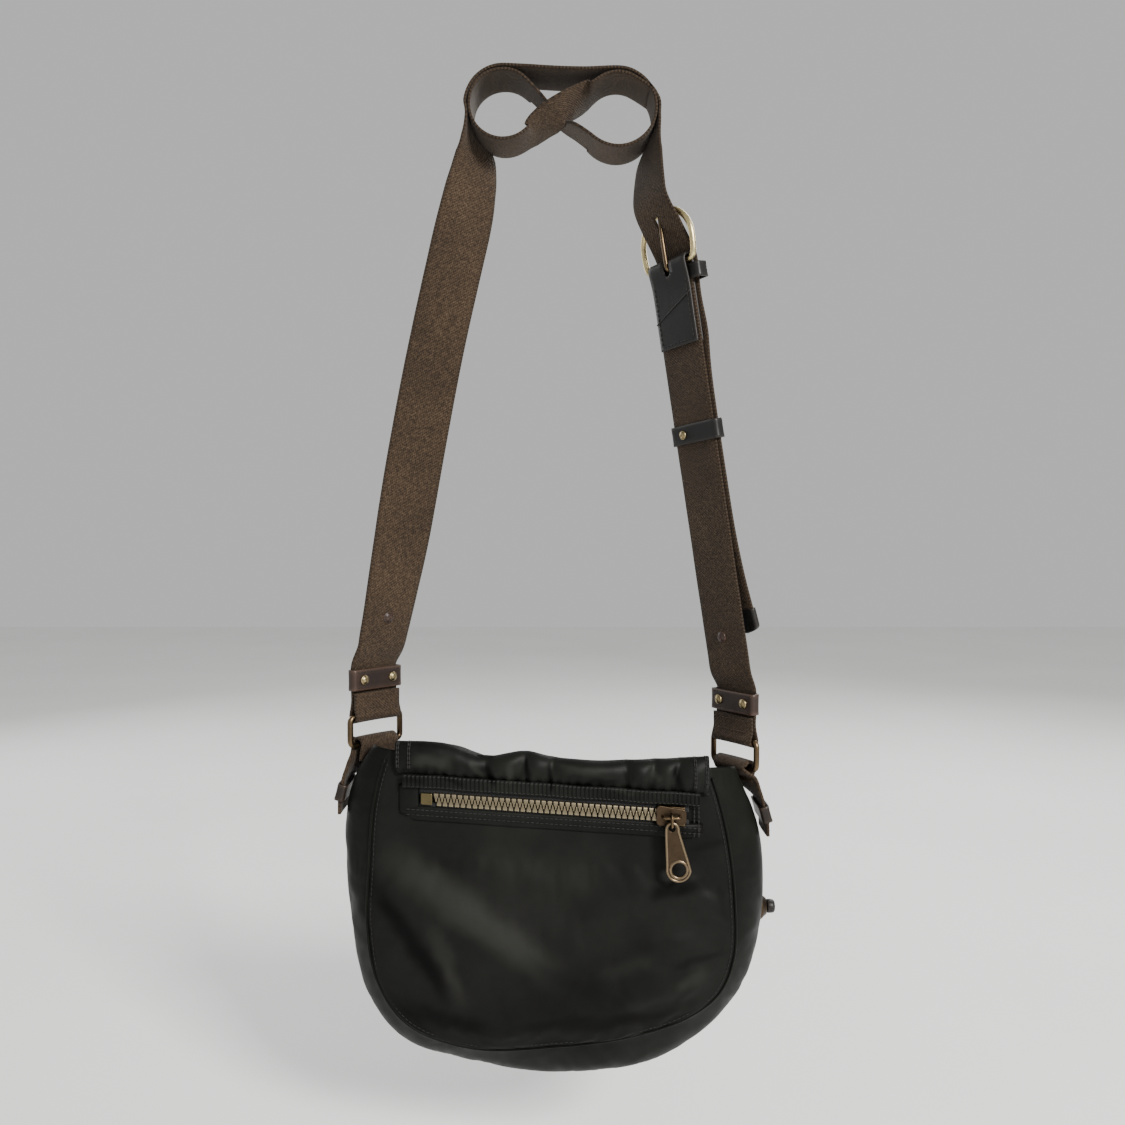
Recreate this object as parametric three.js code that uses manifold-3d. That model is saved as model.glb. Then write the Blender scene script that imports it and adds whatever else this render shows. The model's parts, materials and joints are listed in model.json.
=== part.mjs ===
// Small messenger bag hung by its webbing strap, which is looped round two hangers.
// Millimetres, +Z up. The zip-pocket side (back) faces -Y and the flap side (front) faces +Y.
// The origin is midway between the centres of the two strap loops.
import * as THREE from "three";
import { mergeVertices } from "three/addons/utils/BufferGeometryUtils.js";
import Module from "manifold-3d";

const wasm = await Module();
wasm.setup();

// ---------- driving dimensions ----------
const WEB = { width: 38, thick: 1.8 };            // strap webbing
const LOOP_L = { x: -36.9, z: 1 };                // centre of the left strap loop
const LOOP_R = { x: 36.9, z: -1 };                // centre of the right strap loop
const R_INNER = 23.8;                             // mid-radius of the inner strap layer
const R_OUTER = 26.6;                             // mid-radius of the outer strap layer
const FABRIC = 1.2;                               // panel thickness
const BACK_Y = -38;                               // rear seam plane
const FRONT_Y = 22;                               // front seam plane
const PANEL_Y = BACK_Y - 0.4;                     // inner face of the back panel
const DOME = 5;                                   // how far each big panel bellies out
const FLAT_V = 0.36;                              // share of a panel's height that stays flat
const SIDE = 0.37;                                // share of a panel's outline taken by each side
const WIRE = 2;                                   // radius of the strap ring wire
const ZIP = { left: -92, right: 84, zLeft: -459, slope: -0.068, y: -41.4 };
const TAB = { width: 31, thick: 2 };              // side tabs that hold the rings
const RING_L = { x: -126.5, y: -8, zTop: -410, zBottom: -429, turn: 48 };
const RING_R = { x: 119, y: -8, zTop: -426, zBottom: -445, turn: 56 };
const RING_HALF = 21;                             // half the ring's width between wire centres
const PIPING = 1.1;                               // radius of the seam piping

// Outlines run from the left mouth corner, down, round the base and up to the right corner.
const GUSSET_OUTLINE = [
  [-130, -426], [-139, -441], [-144.6, -475], [-144.6, -505], [-140.5, -550], [-130, -598],
  [-105, -629], [-60, -643.5], [-5, -652.5], [56, -646.5], [93, -626], [120, -597],
  [132, -566], [136.5, -520], [134.8, -492], [129, -466], [120, -441],
];
const SEAM_OUTLINE = [
  [-112, -428], [-117, -440], [-123, -466], [-126, -505], [-127.5, -545], [-121, -582],
  [-101, -611], [-58, -627], [-5, -626], [43, -620], [83, -607], [105, -590],
  [114.5, -566], [115, -530], [111, -492], [104, -461], [97, -440],
];

// ---------- helpers ----------
const v3 = (x, y, z) => new THREE.Vector3(x, y, z);
const rad = THREE.MathUtils.degToRad;

function solid(points, faces) {
  const geometry = new THREE.BufferGeometry();
  const values = points.flatMap((p) => [p.x, p.y, p.z]);
  geometry.setAttribute("position", new THREE.Float32BufferAttribute(values, 3));
  let volume = 0;
  for (const [a, b, c] of faces) {
    volume += points[a].dot(points[b].clone().cross(points[c]));
  }
  const outward = volume > 0 ? faces : faces.map(([a, b, c]) => [a, c, b]);
  geometry.setIndex(outward.flat());
  return geometry;
}

// A tube of any section: one ring of points per station, capped or closed on itself.
function skin(rings, closed = false) {
  const n = rings[0].length;
  const points = rings.flat();
  const faces = [];
  const last = closed ? rings.length : rings.length - 1;
  for (let i = 0; i < last; i += 1) {
    const next = (i + 1) % rings.length;
    for (let j = 0; j < n; j += 1) {
      const a = i * n + j;
      const b = i * n + (j + 1) % n;
      const c = next * n + j;
      const d = next * n + (j + 1) % n;
      faces.push([a, c, b], [b, c, d]);
    }
  }
  if (!closed) {
    const end = (rings.length - 1) * n;
    for (let j = 1; j < n - 1; j += 1) {
      faces.push([0, j, j + 1], [end, end + j + 1, end + j]);
    }
  }
  return solid(points, faces);
}

// A sheet of cloth: a grid of points thickened along its normals.
function thickSheet(grid, thick) {
  const rows = grid.length;
  const cols = grid[0].length;
  const at = (i, j) => grid[Math.min(rows - 1, Math.max(0, i))][Math.min(cols - 1, Math.max(0, j))];
  const inner = grid.map((row, i) => row.map((p, j) => {
    const along = at(i + 1, j).clone().sub(at(i - 1, j));
    const across = at(i, j + 1).clone().sub(at(i, j - 1));
    return p.clone().addScaledVector(along.cross(across).normalize(), thick);
  }));
  const rings = grid.map((row, i) => [...row, ...inner[i].slice().reverse()]);
  const points = rings.flat();
  const n = rings[0].length;
  const faces = [];
  for (let i = 0; i < rows - 1; i += 1) {
    for (let j = 0; j < n; j += 1) {
      const a = i * n + j;
      const b = i * n + (j + 1) % n;
      faces.push([a, a + n, b], [b, a + n, b + n]);
    }
  }
  for (const start of [0, (rows - 1) * n]) {
    for (let j = 0; j < cols - 1; j += 1) {
      const far = n - 1 - j;
      const strip = [[start + j, start + j + 1, start + far], [start + j + 1, start + far - 1, start + far]];
      faces.push(...(start === 0 ? strip : strip.map(([a, b, c]) => [a, c, b])));
    }
  }
  return solid(points, faces);
}

// Smooth curve through a list of [x, z] points, sampled evenly.
function outlineCurve(outline, y = 0) {
  return new THREE.CatmullRomCurve3(outline.map(([x, z]) => v3(x, y, z)), false, "centripetal");
}

// Four-sided patch between a straight mouth line and a U-shaped outline.
function panelGrid(outline, y, dome, rows, cols, drop = 0) {
  const curve = outlineCurve(outline, y);
  const start = drop / curve.getLength();
  const top = (u) => curve.getPointAt(start).lerp(curve.getPointAt(1 - start), u);
  const bottom = (u) => curve.getPointAt(SIDE + (1 - 2 * SIDE) * u);
  const left = (v) => curve.getPointAt(THREE.MathUtils.lerp(start, SIDE, v));
  const right = (v) => curve.getPointAt(1 - THREE.MathUtils.lerp(start, SIDE, v));
  const grid = [];
  for (let i = 0; i <= rows; i += 1) {
    const v = i / rows;
    const row = [];
    for (let j = 0; j <= cols; j += 1) {
      const u = j / cols;
      const ruled = left(v).multiplyScalar(1 - u).addScaledVector(right(v), u);
      const lofted = top(u).multiplyScalar(1 - v).addScaledVector(bottom(u), v);
      const corners = top(0).multiplyScalar((1 - u) * (1 - v)).addScaledVector(top(1), u * (1 - v));
      corners.addScaledVector(bottom(0), (1 - u) * v).addScaledVector(bottom(1), u * v);
      const p = ruled.add(lofted).sub(corners);
      const belly = Math.max(0, (v - FLAT_V) / (1 - FLAT_V));
      p.y = y + dome * Math.sin(Math.PI * belly) * Math.sin(Math.PI * u);
      row.push(p);
    }
    grid.push(row);
  }
  return grid;
}

// Flat webbing or leather: stations give a centre, a width direction and a thickness direction.
function ribbon(stations, width, thick) {
  return skin(stations.map(({ p, w, n }) => [
    p.clone().addScaledVector(w, width / 2).addScaledVector(n, thick / 2),
    p.clone().addScaledVector(w, -width / 2).addScaledVector(n, thick / 2),
    p.clone().addScaledVector(w, -width / 2).addScaledVector(n, -thick / 2),
    p.clone().addScaledVector(w, width / 2).addScaledVector(n, -thick / 2),
  ]));
}

// Stations along a curve through hand-placed points; width(t) gives the width direction.
function stations(points, width, steps, from = 0, to = 1) {
  const curve = new THREE.CatmullRomCurve3(points, false, "centripetal");
  const list = [];
  for (let i = 0; i <= steps; i += 1) {
    const t = from + (to - from) * i / steps;
    const tangent = curve.getTangentAt(t);
    const w = width(t);
    w.addScaledVector(tangent, -w.dot(tangent)).normalize();
    list.push({ p: curve.getPointAt(t), w, n: tangent.cross(w) });
  }
  return list;
}

// Width direction turned about Z: side -1 puts the left edge forward, +1 the right edge.
const turned = (degrees, side) => v3(side * Math.cos(rad(degrees)), -Math.sin(rad(degrees)), 0);

// Linear look-up in a short list of [t, value] pairs.
function blendTable(table, t) {
  let k = 0;
  while (k < table.length - 2 && t > table[k + 1][0]) {
    k += 1;
  }
  const [t0, a] = table[k];
  const [t1, b] = table[k + 1];
  return a + (b - a) * THREE.MathUtils.clamp((t - t0) / (t1 - t0), 0, 1);
}

// Round wire bent along a path, closed on itself or with flat ends.
function wire(path, radius, steps, closed = false, sides = 8) {
  const curve = new THREE.CatmullRomCurve3(path, closed, "centripetal");
  const rings = [];
  const reference = v3(0.31, 0.88, 0.36).normalize();
  for (let i = 0; i < (closed ? steps : steps + 1); i += 1) {
    const t = i / steps;
    const tangent = curve.getTangentAt(t);
    const a = reference.clone().cross(tangent).normalize();
    const b = tangent.clone().cross(a);
    const centre = curve.getPointAt(t);
    rings.push(Array.from({ length: sides }, (_, k) => {
      const angle = 2 * Math.PI * k / sides;
      const spoke = a.clone().multiplyScalar(Math.cos(angle)).addScaledVector(b, Math.sin(angle));
      return centre.clone().addScaledVector(spoke, radius);
    }));
  }
  return skin(rings, closed);
}

// Local frame of a strap station: across its width, out of its face, along its run.
function localFrame(origin, w, along) {
  const t = along.clone().normalize();
  const across = w.clone().addScaledVector(t, -w.dot(t)).normalize();
  const out = across.clone().cross(t).normalize();
  return (u, n, s) => origin.clone().addScaledVector(across, u).addScaledVector(out, n).addScaledVector(t, s);
}

// Rectangular sleeve round a strap, with its own hole.
function sleeve(frame, outerW, outerN, wall, length) {
  const box = (w, n, s0, s1) => [[-w, -n], [w, -n], [w, n], [-w, n]].map(([u, k]) => [u, k, s0, s1]);
  const outer = box(outerW / 2, outerN / 2);
  const inner = box(outerW / 2 - wall, outerN / 2 - wall);
  const rings = [];
  for (let i = 0; i < 4; i += 1) {
    const [uo, no] = outer[i];
    const [ui, ni] = inner[i];
    const half = length / 2;
    rings.push([frame(uo, no, -half), frame(uo, no, half), frame(ui, ni, half), frame(ui, ni, -half)]);
  }
  return skin(rings, true);
}

// Domed stud standing on a face: a lathe profile turned to point along a direction.
function stud(centre, direction, radius, height) {
  const profile = [[0, 0], [radius, 0], [radius, 0.35 * height], [0.7 * radius, 0.8 * height], [0, height]];
  const geometry = new THREE.LatheGeometry(profile.map(([r, h]) => new THREE.Vector2(r, h)), 14);
  const turn = new THREE.Quaternion().setFromUnitVectors(v3(0, 1, 0), direction.clone().normalize());
  geometry.applyQuaternion(turn);
  geometry.translate(centre.x, centre.y, centre.z);
  return geometry;
}

// Plate with straight sides, drawn in XZ and given thickness from y0 to y1.
function plate(points, y0, y1) {
  return skin([y0, y1].map((y) => points.map(([x, z]) => v3(x, y, z))));
}

function prism(points, y0, y1) {
  const shape = new THREE.Shape(points.map(([x, z]) => new THREE.Vector2(x, z)));
  const geometry = new THREE.ExtrudeGeometry(shape, { depth: y1 - y0, bevelEnabled: false });
  geometry.rotateX(Math.PI / 2);
  geometry.translate(0, y1, 0);
  return geometry;
}

function toManifold(geometry) {
  const bare = geometry.clone();
  bare.deleteAttribute("normal");
  bare.deleteAttribute("uv");
  const merged = mergeVertices(bare, 1e-4);
  return new wasm.Manifold(new wasm.Mesh({
    numProp: 3,
    vertProperties: new Float32Array(merged.attributes.position.array),
    triVerts: new Uint32Array(merged.index.array),
  }));
}

function fromManifold(manifold) {
  const mesh = manifold.getMesh();
  const out = new THREE.BufferGeometry();
  out.setAttribute("position", new THREE.Float32BufferAttribute(Array.from(mesh.vertProperties), 3));
  out.setIndex(Array.from(mesh.triVerts));
  return out;
}

function cut(geometry, ...tools) {
  return fromManifold(tools.reduce((left, tool) => left.subtract(toManifold(tool)), toManifold(geometry)));
}

// ---------- materials ----------
const finish = (color, roughness, metalness = 0) => (
  () => new THREE.MeshStandardMaterial({ color, roughness, metalness }));
const NYLON = finish(0x2c2d29, 0.55);
const LINING = finish(0x4a4438, 0.85);
const WEBBING = finish(0x54422f, 0.9);
const LEATHER = finish(0x1d1a18, 0.5);
const BRASS = finish(0x8a7647, 0.35, 1);
const BRONZE = finish(0x4d3a2a, 0.4, 1);
const TAPE = finish(0x26262a, 0.9);

const bag = new THREE.Group();

function add(name, geometry, material) {
  const mesh = new THREE.Mesh(geometry, material());
  mesh.name = name;
  bag.add(mesh);
}

// ---------- bag shell ----------
// Each layer: depth, swell from the seam outline to the full outline, and how far the
// left and right top corners turn inwards so that they follow the turned strap rings.
const GUSSET_LAYERS = [
  [BACK_Y + 0.3, 0, 0, 0], [-30, 0.62, 0, 0], [-18, 1, 13, -4], [-7, 1, 20, -11], [6, 1, 31, -20],
  [FRONT_Y - 0.6, 0.55, 8, -8],
];
const CORNER_REACH = 24;                          // length over which a top corner turns in
const CORNER_DROP = 17;                           // how far the turned corners are cut down
const CORNER_Y = -12;                             // the corners are cut down in front of here

function gusset() {
  const steps = 44;
  const rear = outlineCurve(SEAM_OUTLINE);
  const full = outlineCurve(GUSSET_OUTLINE);
  const length = full.getLength();
  const grid = GUSSET_LAYERS.map(([y, swell, left, right]) => {
    const trim = y > CORNER_Y ? CORNER_DROP / length : 0;
    const row = [];
    for (let i = 0; i <= steps; i += 1) {
      const t = trim + (1 - 2 * trim) * i / steps;
      const p = rear.getPointAt(t).lerp(full.getPointAt(t), swell);
      p.x += left * Math.exp(-(((t - trim) * length / CORNER_REACH) ** 2));
      p.x += right * Math.exp(-(((1 - trim - t) * length / CORNER_REACH) ** 2));
      p.y = y;
      row.push(p);
    }
    return row;
  });
  return thickSheet(grid, -FABRIC);
}

function frontOutline() {
  return SEAM_OUTLINE.map(([x, z], i) => [
    x + 0.55 * (GUSSET_OUTLINE[i][0] - x),
    z + 0.55 * (GUSSET_OUTLINE[i][1] - z),
  ]);
}

function backPanel() {
  return thickSheet(panelGrid(SEAM_OUTLINE, PANEL_Y, -DOME, 12, 16), FABRIC);
}

function frontPanel() {
  return thickSheet(panelGrid(frontOutline(), FRONT_Y + 0.3, DOME * 0.5, 12, 16, CORNER_DROP), -FABRIC);
}

// Piping lies just outside a panel's edge.
function piping(outline, y, trim) {
  const curve = outlineCurve(outline, y);
  const path = [];
  const count = 34;
  for (let i = 0; i <= count; i += 1) {
    const t = trim + (1 - 2 * trim) * i / count;
    const tangent = curve.getTangentAt(t);
    path.push(curve.getPointAt(t).add(v3(tangent.z, 0, -tangent.x).multiplyScalar(PIPING + 0.5)));
  }
  return wire(path, PIPING, 56, false, 6);
}

// Outline of an inner cloth: a panel's outline drawn in towards its middle, with its own top.
function shrunk(outline, amount, top) {
  const cx = -5;
  const cz = -530;
  const list = outline.map(([x, z]) => [cx + (x - cx) * (1 - amount), cz + (z - cz) * (1 - amount)]);
  list[0][1] = top;
  list[list.length - 1][1] = top - 10;
  return list;
}

function pocketBag() {
  return thickSheet(panelGrid(shrunk(SEAM_OUTLINE, 0.14, -466), BACK_Y + 7, 0, 8, 12), 0.8);
}

function liningPanel(y, outline) {
  return thickSheet(panelGrid(shrunk(outline, 0.09, -444), y, 0, 8, 12), 0.8);
}

// ---------- flap ----------
const FLAP_TOP = { left: -108, right: 97, zLeft: -421, zRight: -431.5 };

function topZ(x) {
  const u = (x - FLAP_TOP.left) / (FLAP_TOP.right - FLAP_TOP.left);
  return FLAP_TOP.zLeft + (FLAP_TOP.zRight - FLAP_TOP.zLeft) * u;
}

function flapRear() {
  const grid = [];
  for (let i = 0; i <= 3; i += 1) {
    const row = [];
    for (let j = 0; j <= 16; j += 1) {
      const x = THREE.MathUtils.lerp(FLAP_TOP.left + 2 * i, FLAP_TOP.right - i, j / 16);
      row.push(v3(x, -40.8 - (i === 1 || i === 2 ? 1 : 0), topZ(x) - 9 - 6.5 * i));
    }
    grid.push(row);
  }
  return thickSheet(grid, 1.8);
}

// Flap: from the rear fold, over the mouth and down the front, narrowing as it goes.
function flapShell() {
  const path = [
    [-42, -7.4, 0], [-41.5, -2, 0], [-37, 1.5, 0], [-20, -5, 1.5], [10, -13, 4], [25, -17.5, 5],
    [30, -24, 5.5], [31, -40, 8], [31.5, -80, 10], [32, -120, 13], [32, -150, 19], [31.5, -170, 32], [31, -180, 48],
  ];
  const grid = path.map(([y, rise, inset]) => {
    const row = [];
    for (let j = 0; j <= 16; j += 1) {
      const x = THREE.MathUtils.lerp(FLAP_TOP.left + inset, FLAP_TOP.right - inset, j / 16);
      const level = topZ(x) + rise;
      const hangs = rise < -20 && y > 0;
      row.push(v3(x, y, hangs ? THREE.MathUtils.lerp(topZ(-5) + rise, level, 0.4) : level));
    }
    return row;
  });
  return thickSheet(grid, -1.6);
}

// ---------- zip ----------
const zipZ = (x) => ZIP.zLeft + (x - ZIP.left) * ZIP.slope;

function zipStrip(low, high, y0, y1, x0 = ZIP.left, x1 = ZIP.right) {
  const [z0, z1] = [zipZ(x0), zipZ(x1)];
  return plate([[x0, z0 + low], [x1, z1 + low], [x1, z1 + high], [x0, z0 + high]], y0, y1);
}

// Ladder-stitched band that covers the upper edge of the zip.
function seamBand() {
  const xs = [-103, -48, 0, 48, 91];
  const edge = (rise) => xs.map((x) => [x, zipZ(x) + rise]);
  return plate([...edge(7.2), ...edge(16).reverse()], -45.5, -44);
}

// One row of teeth: a bead strip with a comb of square teeth.
function zipTeeth(side) {
  const pitch = 3.9;
  const count = Math.floor((ZIP.right - ZIP.left - 14) / pitch);
  const start = ZIP.left + 10;
  const points = [];
  const shift = side > 0 ? 0 : pitch / 2;
  for (let i = 0; i < count; i += 1) {
    const x = start + shift + i * pitch;
    for (const [dx, h] of [[0, 2.1], [0.1, 0.2], [1.7, 0.2], [1.8, 2.1]]) {
      points.push([x + dx, zipZ(x + dx) + side * h]);
    }
  }
  const endX = start + shift + count * pitch;
  points.push([endX, zipZ(endX) + side * 4]);
  points.push([start + shift, zipZ(start + shift) + side * 4]);
  return prism(points, ZIP.y - 3, ZIP.y - 0.3);
}

function zipStop(x0, x1) {
  return zipStrip(-3.8, 3.8, ZIP.y - 3, ZIP.y - 0.3, x0, x1);
}

const SLIDER = { x: 72, half: 10, y0: ZIP.y - 5.2, y1: ZIP.y - 3.5 };

// The slider is a channel over the chain with a bail on its face.
function zipSlider() {
  const z = zipZ(SLIDER.x);
  const along = v3(1, 0, ZIP.slope).normalize();
  const frame = localFrame(v3(SLIDER.x, 0, z), v3(0, 0, 1), along);
  const channel = [
    [-6.2, 0.4 - ZIP.y], [-4.7, 0.4 - ZIP.y], [-4.7, -SLIDER.y1], [4.7, -SLIDER.y1], [4.7, 0.4 - ZIP.y],
    [6.2, 0.4 - ZIP.y], [6.2, -SLIDER.y0], [-6.2, -SLIDER.y0],
  ];
  const place = (s, [u, n]) => {
    const p = frame(u, 0, s);
    return v3(p.x, -n, p.z);
  };
  const shape = new THREE.Shape(channel.map(([u, n]) => new THREE.Vector2(u, n)));
  const body = new THREE.ExtrudeGeometry(shape, { depth: 2 * SLIDER.half, bevelEnabled: false });
  const position = body.attributes.position;
  for (let i = 0; i < position.count; i += 1) {
    const p = place(position.getZ(i) - SLIDER.half, [position.getX(i), position.getY(i)]);
    position.setXYZ(i, p.x, p.y, p.z);
  }
  const bail = [[-5, 0.4], [-5, -3], [-4, -4.2], [4, -4.2], [5, -3], [5, 0.4]];
  const loop = wire(bail.map(([dx, dy]) => v3(SLIDER.x + dx, SLIDER.y0 + dy, z)), 1.1, 20);
  return fromManifold(toManifold(body).add(toManifold(loop)));
}

const LINK_Y = SLIDER.y0 - 4.2;                   // plane of the pull plate
const LINK_DROP = 5.5;                            // from the bail to the wire the pull hangs on
const PULL_LENGTH = 27;                           // between the centres of the pull plate's two eyes

// Link: a wire loop round the slider's bail; the pull plate hangs on its lower end.
function pullLink() {
  const z = zipZ(SLIDER.x);
  const waist = -0.55 * LINK_DROP;
  const foot = [[-2, -LINK_DROP], [0, -LINK_DROP], [2, -LINK_DROP]];
  const path = [[0, 2.6], [-2.3, 1], [-2.6, waist], ...foot, [2.6, waist], [2.3, 1]];
  return wire(path.map(([dy, dz]) => v3(SLIDER.x, LINK_Y + dy, z + dz)), 0.8, 32, true, 6);
}

// Teardrop pull plate with an eye at each end.
function zipPuller() {
  const top = zipZ(SLIDER.x) - LINK_DROP - 1;
  const outline = [];
  const tip = { x: SLIDER.x + 4.5, z: top - PULL_LENGTH, r: 8 };
  const neck = { x: SLIDER.x, z: top, r: 3.9 };
  const lean = 0.14;
  for (let k = 0; k <= 14; k += 1) {
    const angle = Math.PI * (1 + k / 14) - lean;
    outline.push([tip.x + tip.r * Math.cos(angle), tip.z + tip.r * Math.sin(angle)]);
  }
  for (let k = 0; k <= 8; k += 1) {
    const angle = Math.PI * k / 8 - lean;
    outline.push([neck.x + neck.r * Math.cos(angle), neck.z + neck.r * Math.sin(angle)]);
  }
  const body = prism(outline, LINK_Y - 1.1, LINK_Y + 1.1);
  const drill = (x, z, r) => new THREE.CylinderGeometry(r, r, 12, 16).translate(x, LINK_Y, z);
  return cut(body, drill(tip.x, tip.z, 5.2), drill(neck.x, neck.z, 2.1));
}

// ---------- strap ----------
const WRAP_W = v3(0, -1, 0);

function arc(loop, radius, from, to) {
  const list = [];
  const steps = Math.ceil(Math.abs(to - from) / 10);
  for (let i = 0; i <= steps; i += 1) {
    const angle = rad(from + (to - from) * i / steps);
    const out = v3(Math.cos(angle), 0, Math.sin(angle));
    list.push({ p: v3(loop.x, 0, loop.z).addScaledVector(out, radius), w: WRAP_W.clone(), n: out });
  }
  return ribbon(list, WEB.width, WEB.thick);
}

const onLoop = (loop, radius, degrees, y = 0) => v3(
  loop.x + radius * Math.cos(rad(degrees)), y, loop.z + radius * Math.sin(rad(degrees)));

function topBand() {
  const points = [onLoop(LOOP_L, R_OUTER, 88), v3(-12, 0, 26.4), v3(14, 0, 25), onLoop(LOOP_R, R_OUTER, 92)];
  return ribbon(stations(points, () => WRAP_W.clone(), 8, 0.01, 0.99), WEB.width, WEB.thick);
}

// Diagonals between the loops. Where they cross, each is bunched to part of its width and
// pushed to its own side; roll tips the near edge up.
function diagonal(from, to, middleY, roll, pinch) {
  const offsets = [[0, 0], [0.14, 0.03], [0.32, 0.6], [0.5, 1], [0.68, 0.6], [0.86, 0.03], [1, 0]];
  const points = offsets.map(([t, share]) => from.clone().lerp(to, t).setY(middleY * share));
  const squeeze = (t) => 1.25 * Math.sin(Math.PI * t) ** 1.2 - 0.1;
  const width = (t) => {
    const tip = rad(roll * squeeze(t));
    return WRAP_W.clone().multiplyScalar(Math.cos(tip)).add(v3(0, 0, Math.sin(tip)));
  };
  const gap = 0.06;
  const steps = 15;
  const list = stations(points, width, steps, gap, 1 - gap);
  return skin(list.map(({ p, w, n }, i) => {
    const t = gap + (1 - 2 * gap) * i / steps;
    const half = WEB.width / 2 * (1 - pinch * squeeze(t));
    const corners = [[half, 1], [-half, 1], [-half, -1], [half, -1]];
    return corners.map(([u, k]) => p.clone().addScaledVector(w, u).addScaledVector(n, k * WEB.thick / 2));
  }));
}

function crossFar() {
  return diagonal(onLoop(LOOP_R, R_OUTER, -129), onLoop(LOOP_L, R_INNER, 51), 12.5, 0, 0.6);
}

function crossNear() {
  return diagonal(onLoop(LOOP_L, R_INNER, -51.5), onLoop(LOOP_R, R_INNER, 130), -10.5, 32, 0.4);
}

const LEG_L = [
  [-63.5, 0, -3], [-65, -1, -40], [-69, -2, -80], [-84.5, -3, -160], [-98, -4, -230],
  [-110, -6, -300], [-119.5, -7, -350], [-123.6, -8, -369],
];
const LEG_L_TURN = [[0, 90], [0.1, 34], [0.2, 4], [0.4, 0], [0.6, 6], [0.75, 20], [0.9, 38], [1, 46]];
function legLeft() {
  const points = LEG_L.map(([x, y, z]) => v3(x, y, z));
  const width = (t) => turned(blendTable(LEG_L_TURN, t), -1);
  return ribbon(stations(points, width, 36, 0.004, 1), WEB.width, WEB.thick);
}

// ---------- buckle frame of reference ----------
// Right-hand strap below the hanger: u across it, n out of its rear face, s down its run.
const BUCKLE = { x: 71.5, y: -6, z: -88, halfW: 24, halfH: 18.5, wire: 2.1 };
const RUN = v3(45.5, -2, -301);
const STRAP_TURN = 53;
const onRun = localFrame(v3(BUCKLE.x, BUCKLE.y, BUCKLE.z), turned(STRAP_TURN, 1), RUN);
const RUN_W = onRun(1, 0, 0).sub(onRun(0, 0, 0));
const onRunAt = (u0, n0, s0) => (u, n, s) => onRun(u0 + u, n0 + n, s0 + s);
const CHAPE_END = 73;                             // where the leather on the buckle ends
const LOWER_END = 299;                            // where the lower strap meets its folded end

function legRightUpper() {
  const points = [
    v3(66.6, 0, -5), v3(66.4, -1.5, -22), v3(66.6, -5, -42), onRun(0, -7, -30), onRun(0, -7, -19),
    onRun(0, -3.4, -8), onRun(0, 2.5, 4), onRun(0, 6.6, 14), onRun(0, 6.5, 23), onRun(0, 5.8, 30),
    onRun(1, 5.4, 44),
  ];
  const turn = [[0, 90], [0.2, 62], [0.36, STRAP_TURN], [1, STRAP_TURN]];
  const strap = ribbon(stations(points, (t) => turned(blendTable(turn, t), 1), 40), WEB.width, WEB.thick);
  const rim = [[-2.4, -17], [2.4, -17], [2.4, 0], [-2.4, 0]];
  return cut(strap, skin([-12, 6].map((n) => rim.map(([u, s]) => onRun(u, n, s)))));
}

function lowerRight() {
  const points = [onRun(0, 0, 26), onRun(0, 0, LOWER_END)];
  return ribbon(stations(points, () => RUN_W.clone(), 10), WEB.width, WEB.thick);
}

// Free end of the strap, lying behind the lower strap.
const TAIL_SHIFT = 1.5;

function tail() {
  const points = [[5.4, 46], [5.2, 66], [3.6, 84], [2.7, 100], [2.7, 165], [3.4, 200], [6, 230], [10, 256]];
  const path = points.map(([n, s]) => onRun(TAIL_SHIFT, n, s));
  return ribbon(stations(path, () => RUN_W.clone(), 24), WEB.width, WEB.thick);
}

function tailTip() {
  const path = [[10.1, 256.6], [12.2, 272]].map(([n, s]) => onRun(TAIL_SHIFT, n, s));
  return ribbon(stations(path, () => RUN_W.clone(), 2), WEB.width + 1.5, 3.6);
}

// ---------- strap ends, rings and side tabs ----------
function ringLoop(ring, side) {
  const w = turned(ring.turn, side);
  const corner = 3;
  const half = RING_HALF;
  const outline = [];
  const corners = [[half, ring.zTop], [half, ring.zBottom], [-half, ring.zBottom], [-half, ring.zTop]];
  corners.forEach(([u, z], k) => {
    const [pu, pz] = corners[(k + 3) % 4];
    const [nu, nz] = corners[(k + 1) % 4];
    const toward = (a, b) => corner * Math.sign(b - a);
    outline.push([u + toward(u, pu), z + toward(z, pz)], [u + toward(u, pu) * 0.3, z + toward(z, pz) * 0.3]);
    outline.push([u + toward(u, nu) * 0.3, z + toward(z, nz) * 0.3], [u + toward(u, nu), z + toward(z, nz)]);
  });
  return wire(outline.map(([u, z]) => v3(ring.x, ring.y, z).addScaledVector(w, u)), WIRE, 64, true);
}

// Band folded round a bar, drawn as a narrow U; at(n, s) places it, s runs away from the bar.
function foldRound(at, w, path, width, thick, steps = 30) {
  const points = path.map(([n, s]) => at(n, s));
  return ribbon(stations(points, () => w.clone(), steps), width, thick);
}

function bend(reach, count = 8) {
  const list = [];
  for (let k = 0; k <= count; k += 1) {
    const angle = Math.PI * k / count;
    list.push([reach * Math.cos(angle), -reach * Math.sin(angle)]);
  }
  return list;
}

function ringFrame(ring, side, z, sign) {
  const w = turned(ring.turn, side);
  const out = w.clone().cross(v3(0, 0, 1));
  return (n, s) => v3(ring.x, ring.y, z + sign * s).addScaledVector(out, n);
}

function strapFold(ring, side) {
  const path = [[1.4, 35], [1.4, 16], ...bend(3.5), [-1.4, 16], [-1.4, 35]];
  return foldRound(ringFrame(ring, side, ring.zTop, 1), turned(ring.turn, side), path, WEB.width, WEB.thick);
}

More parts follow.
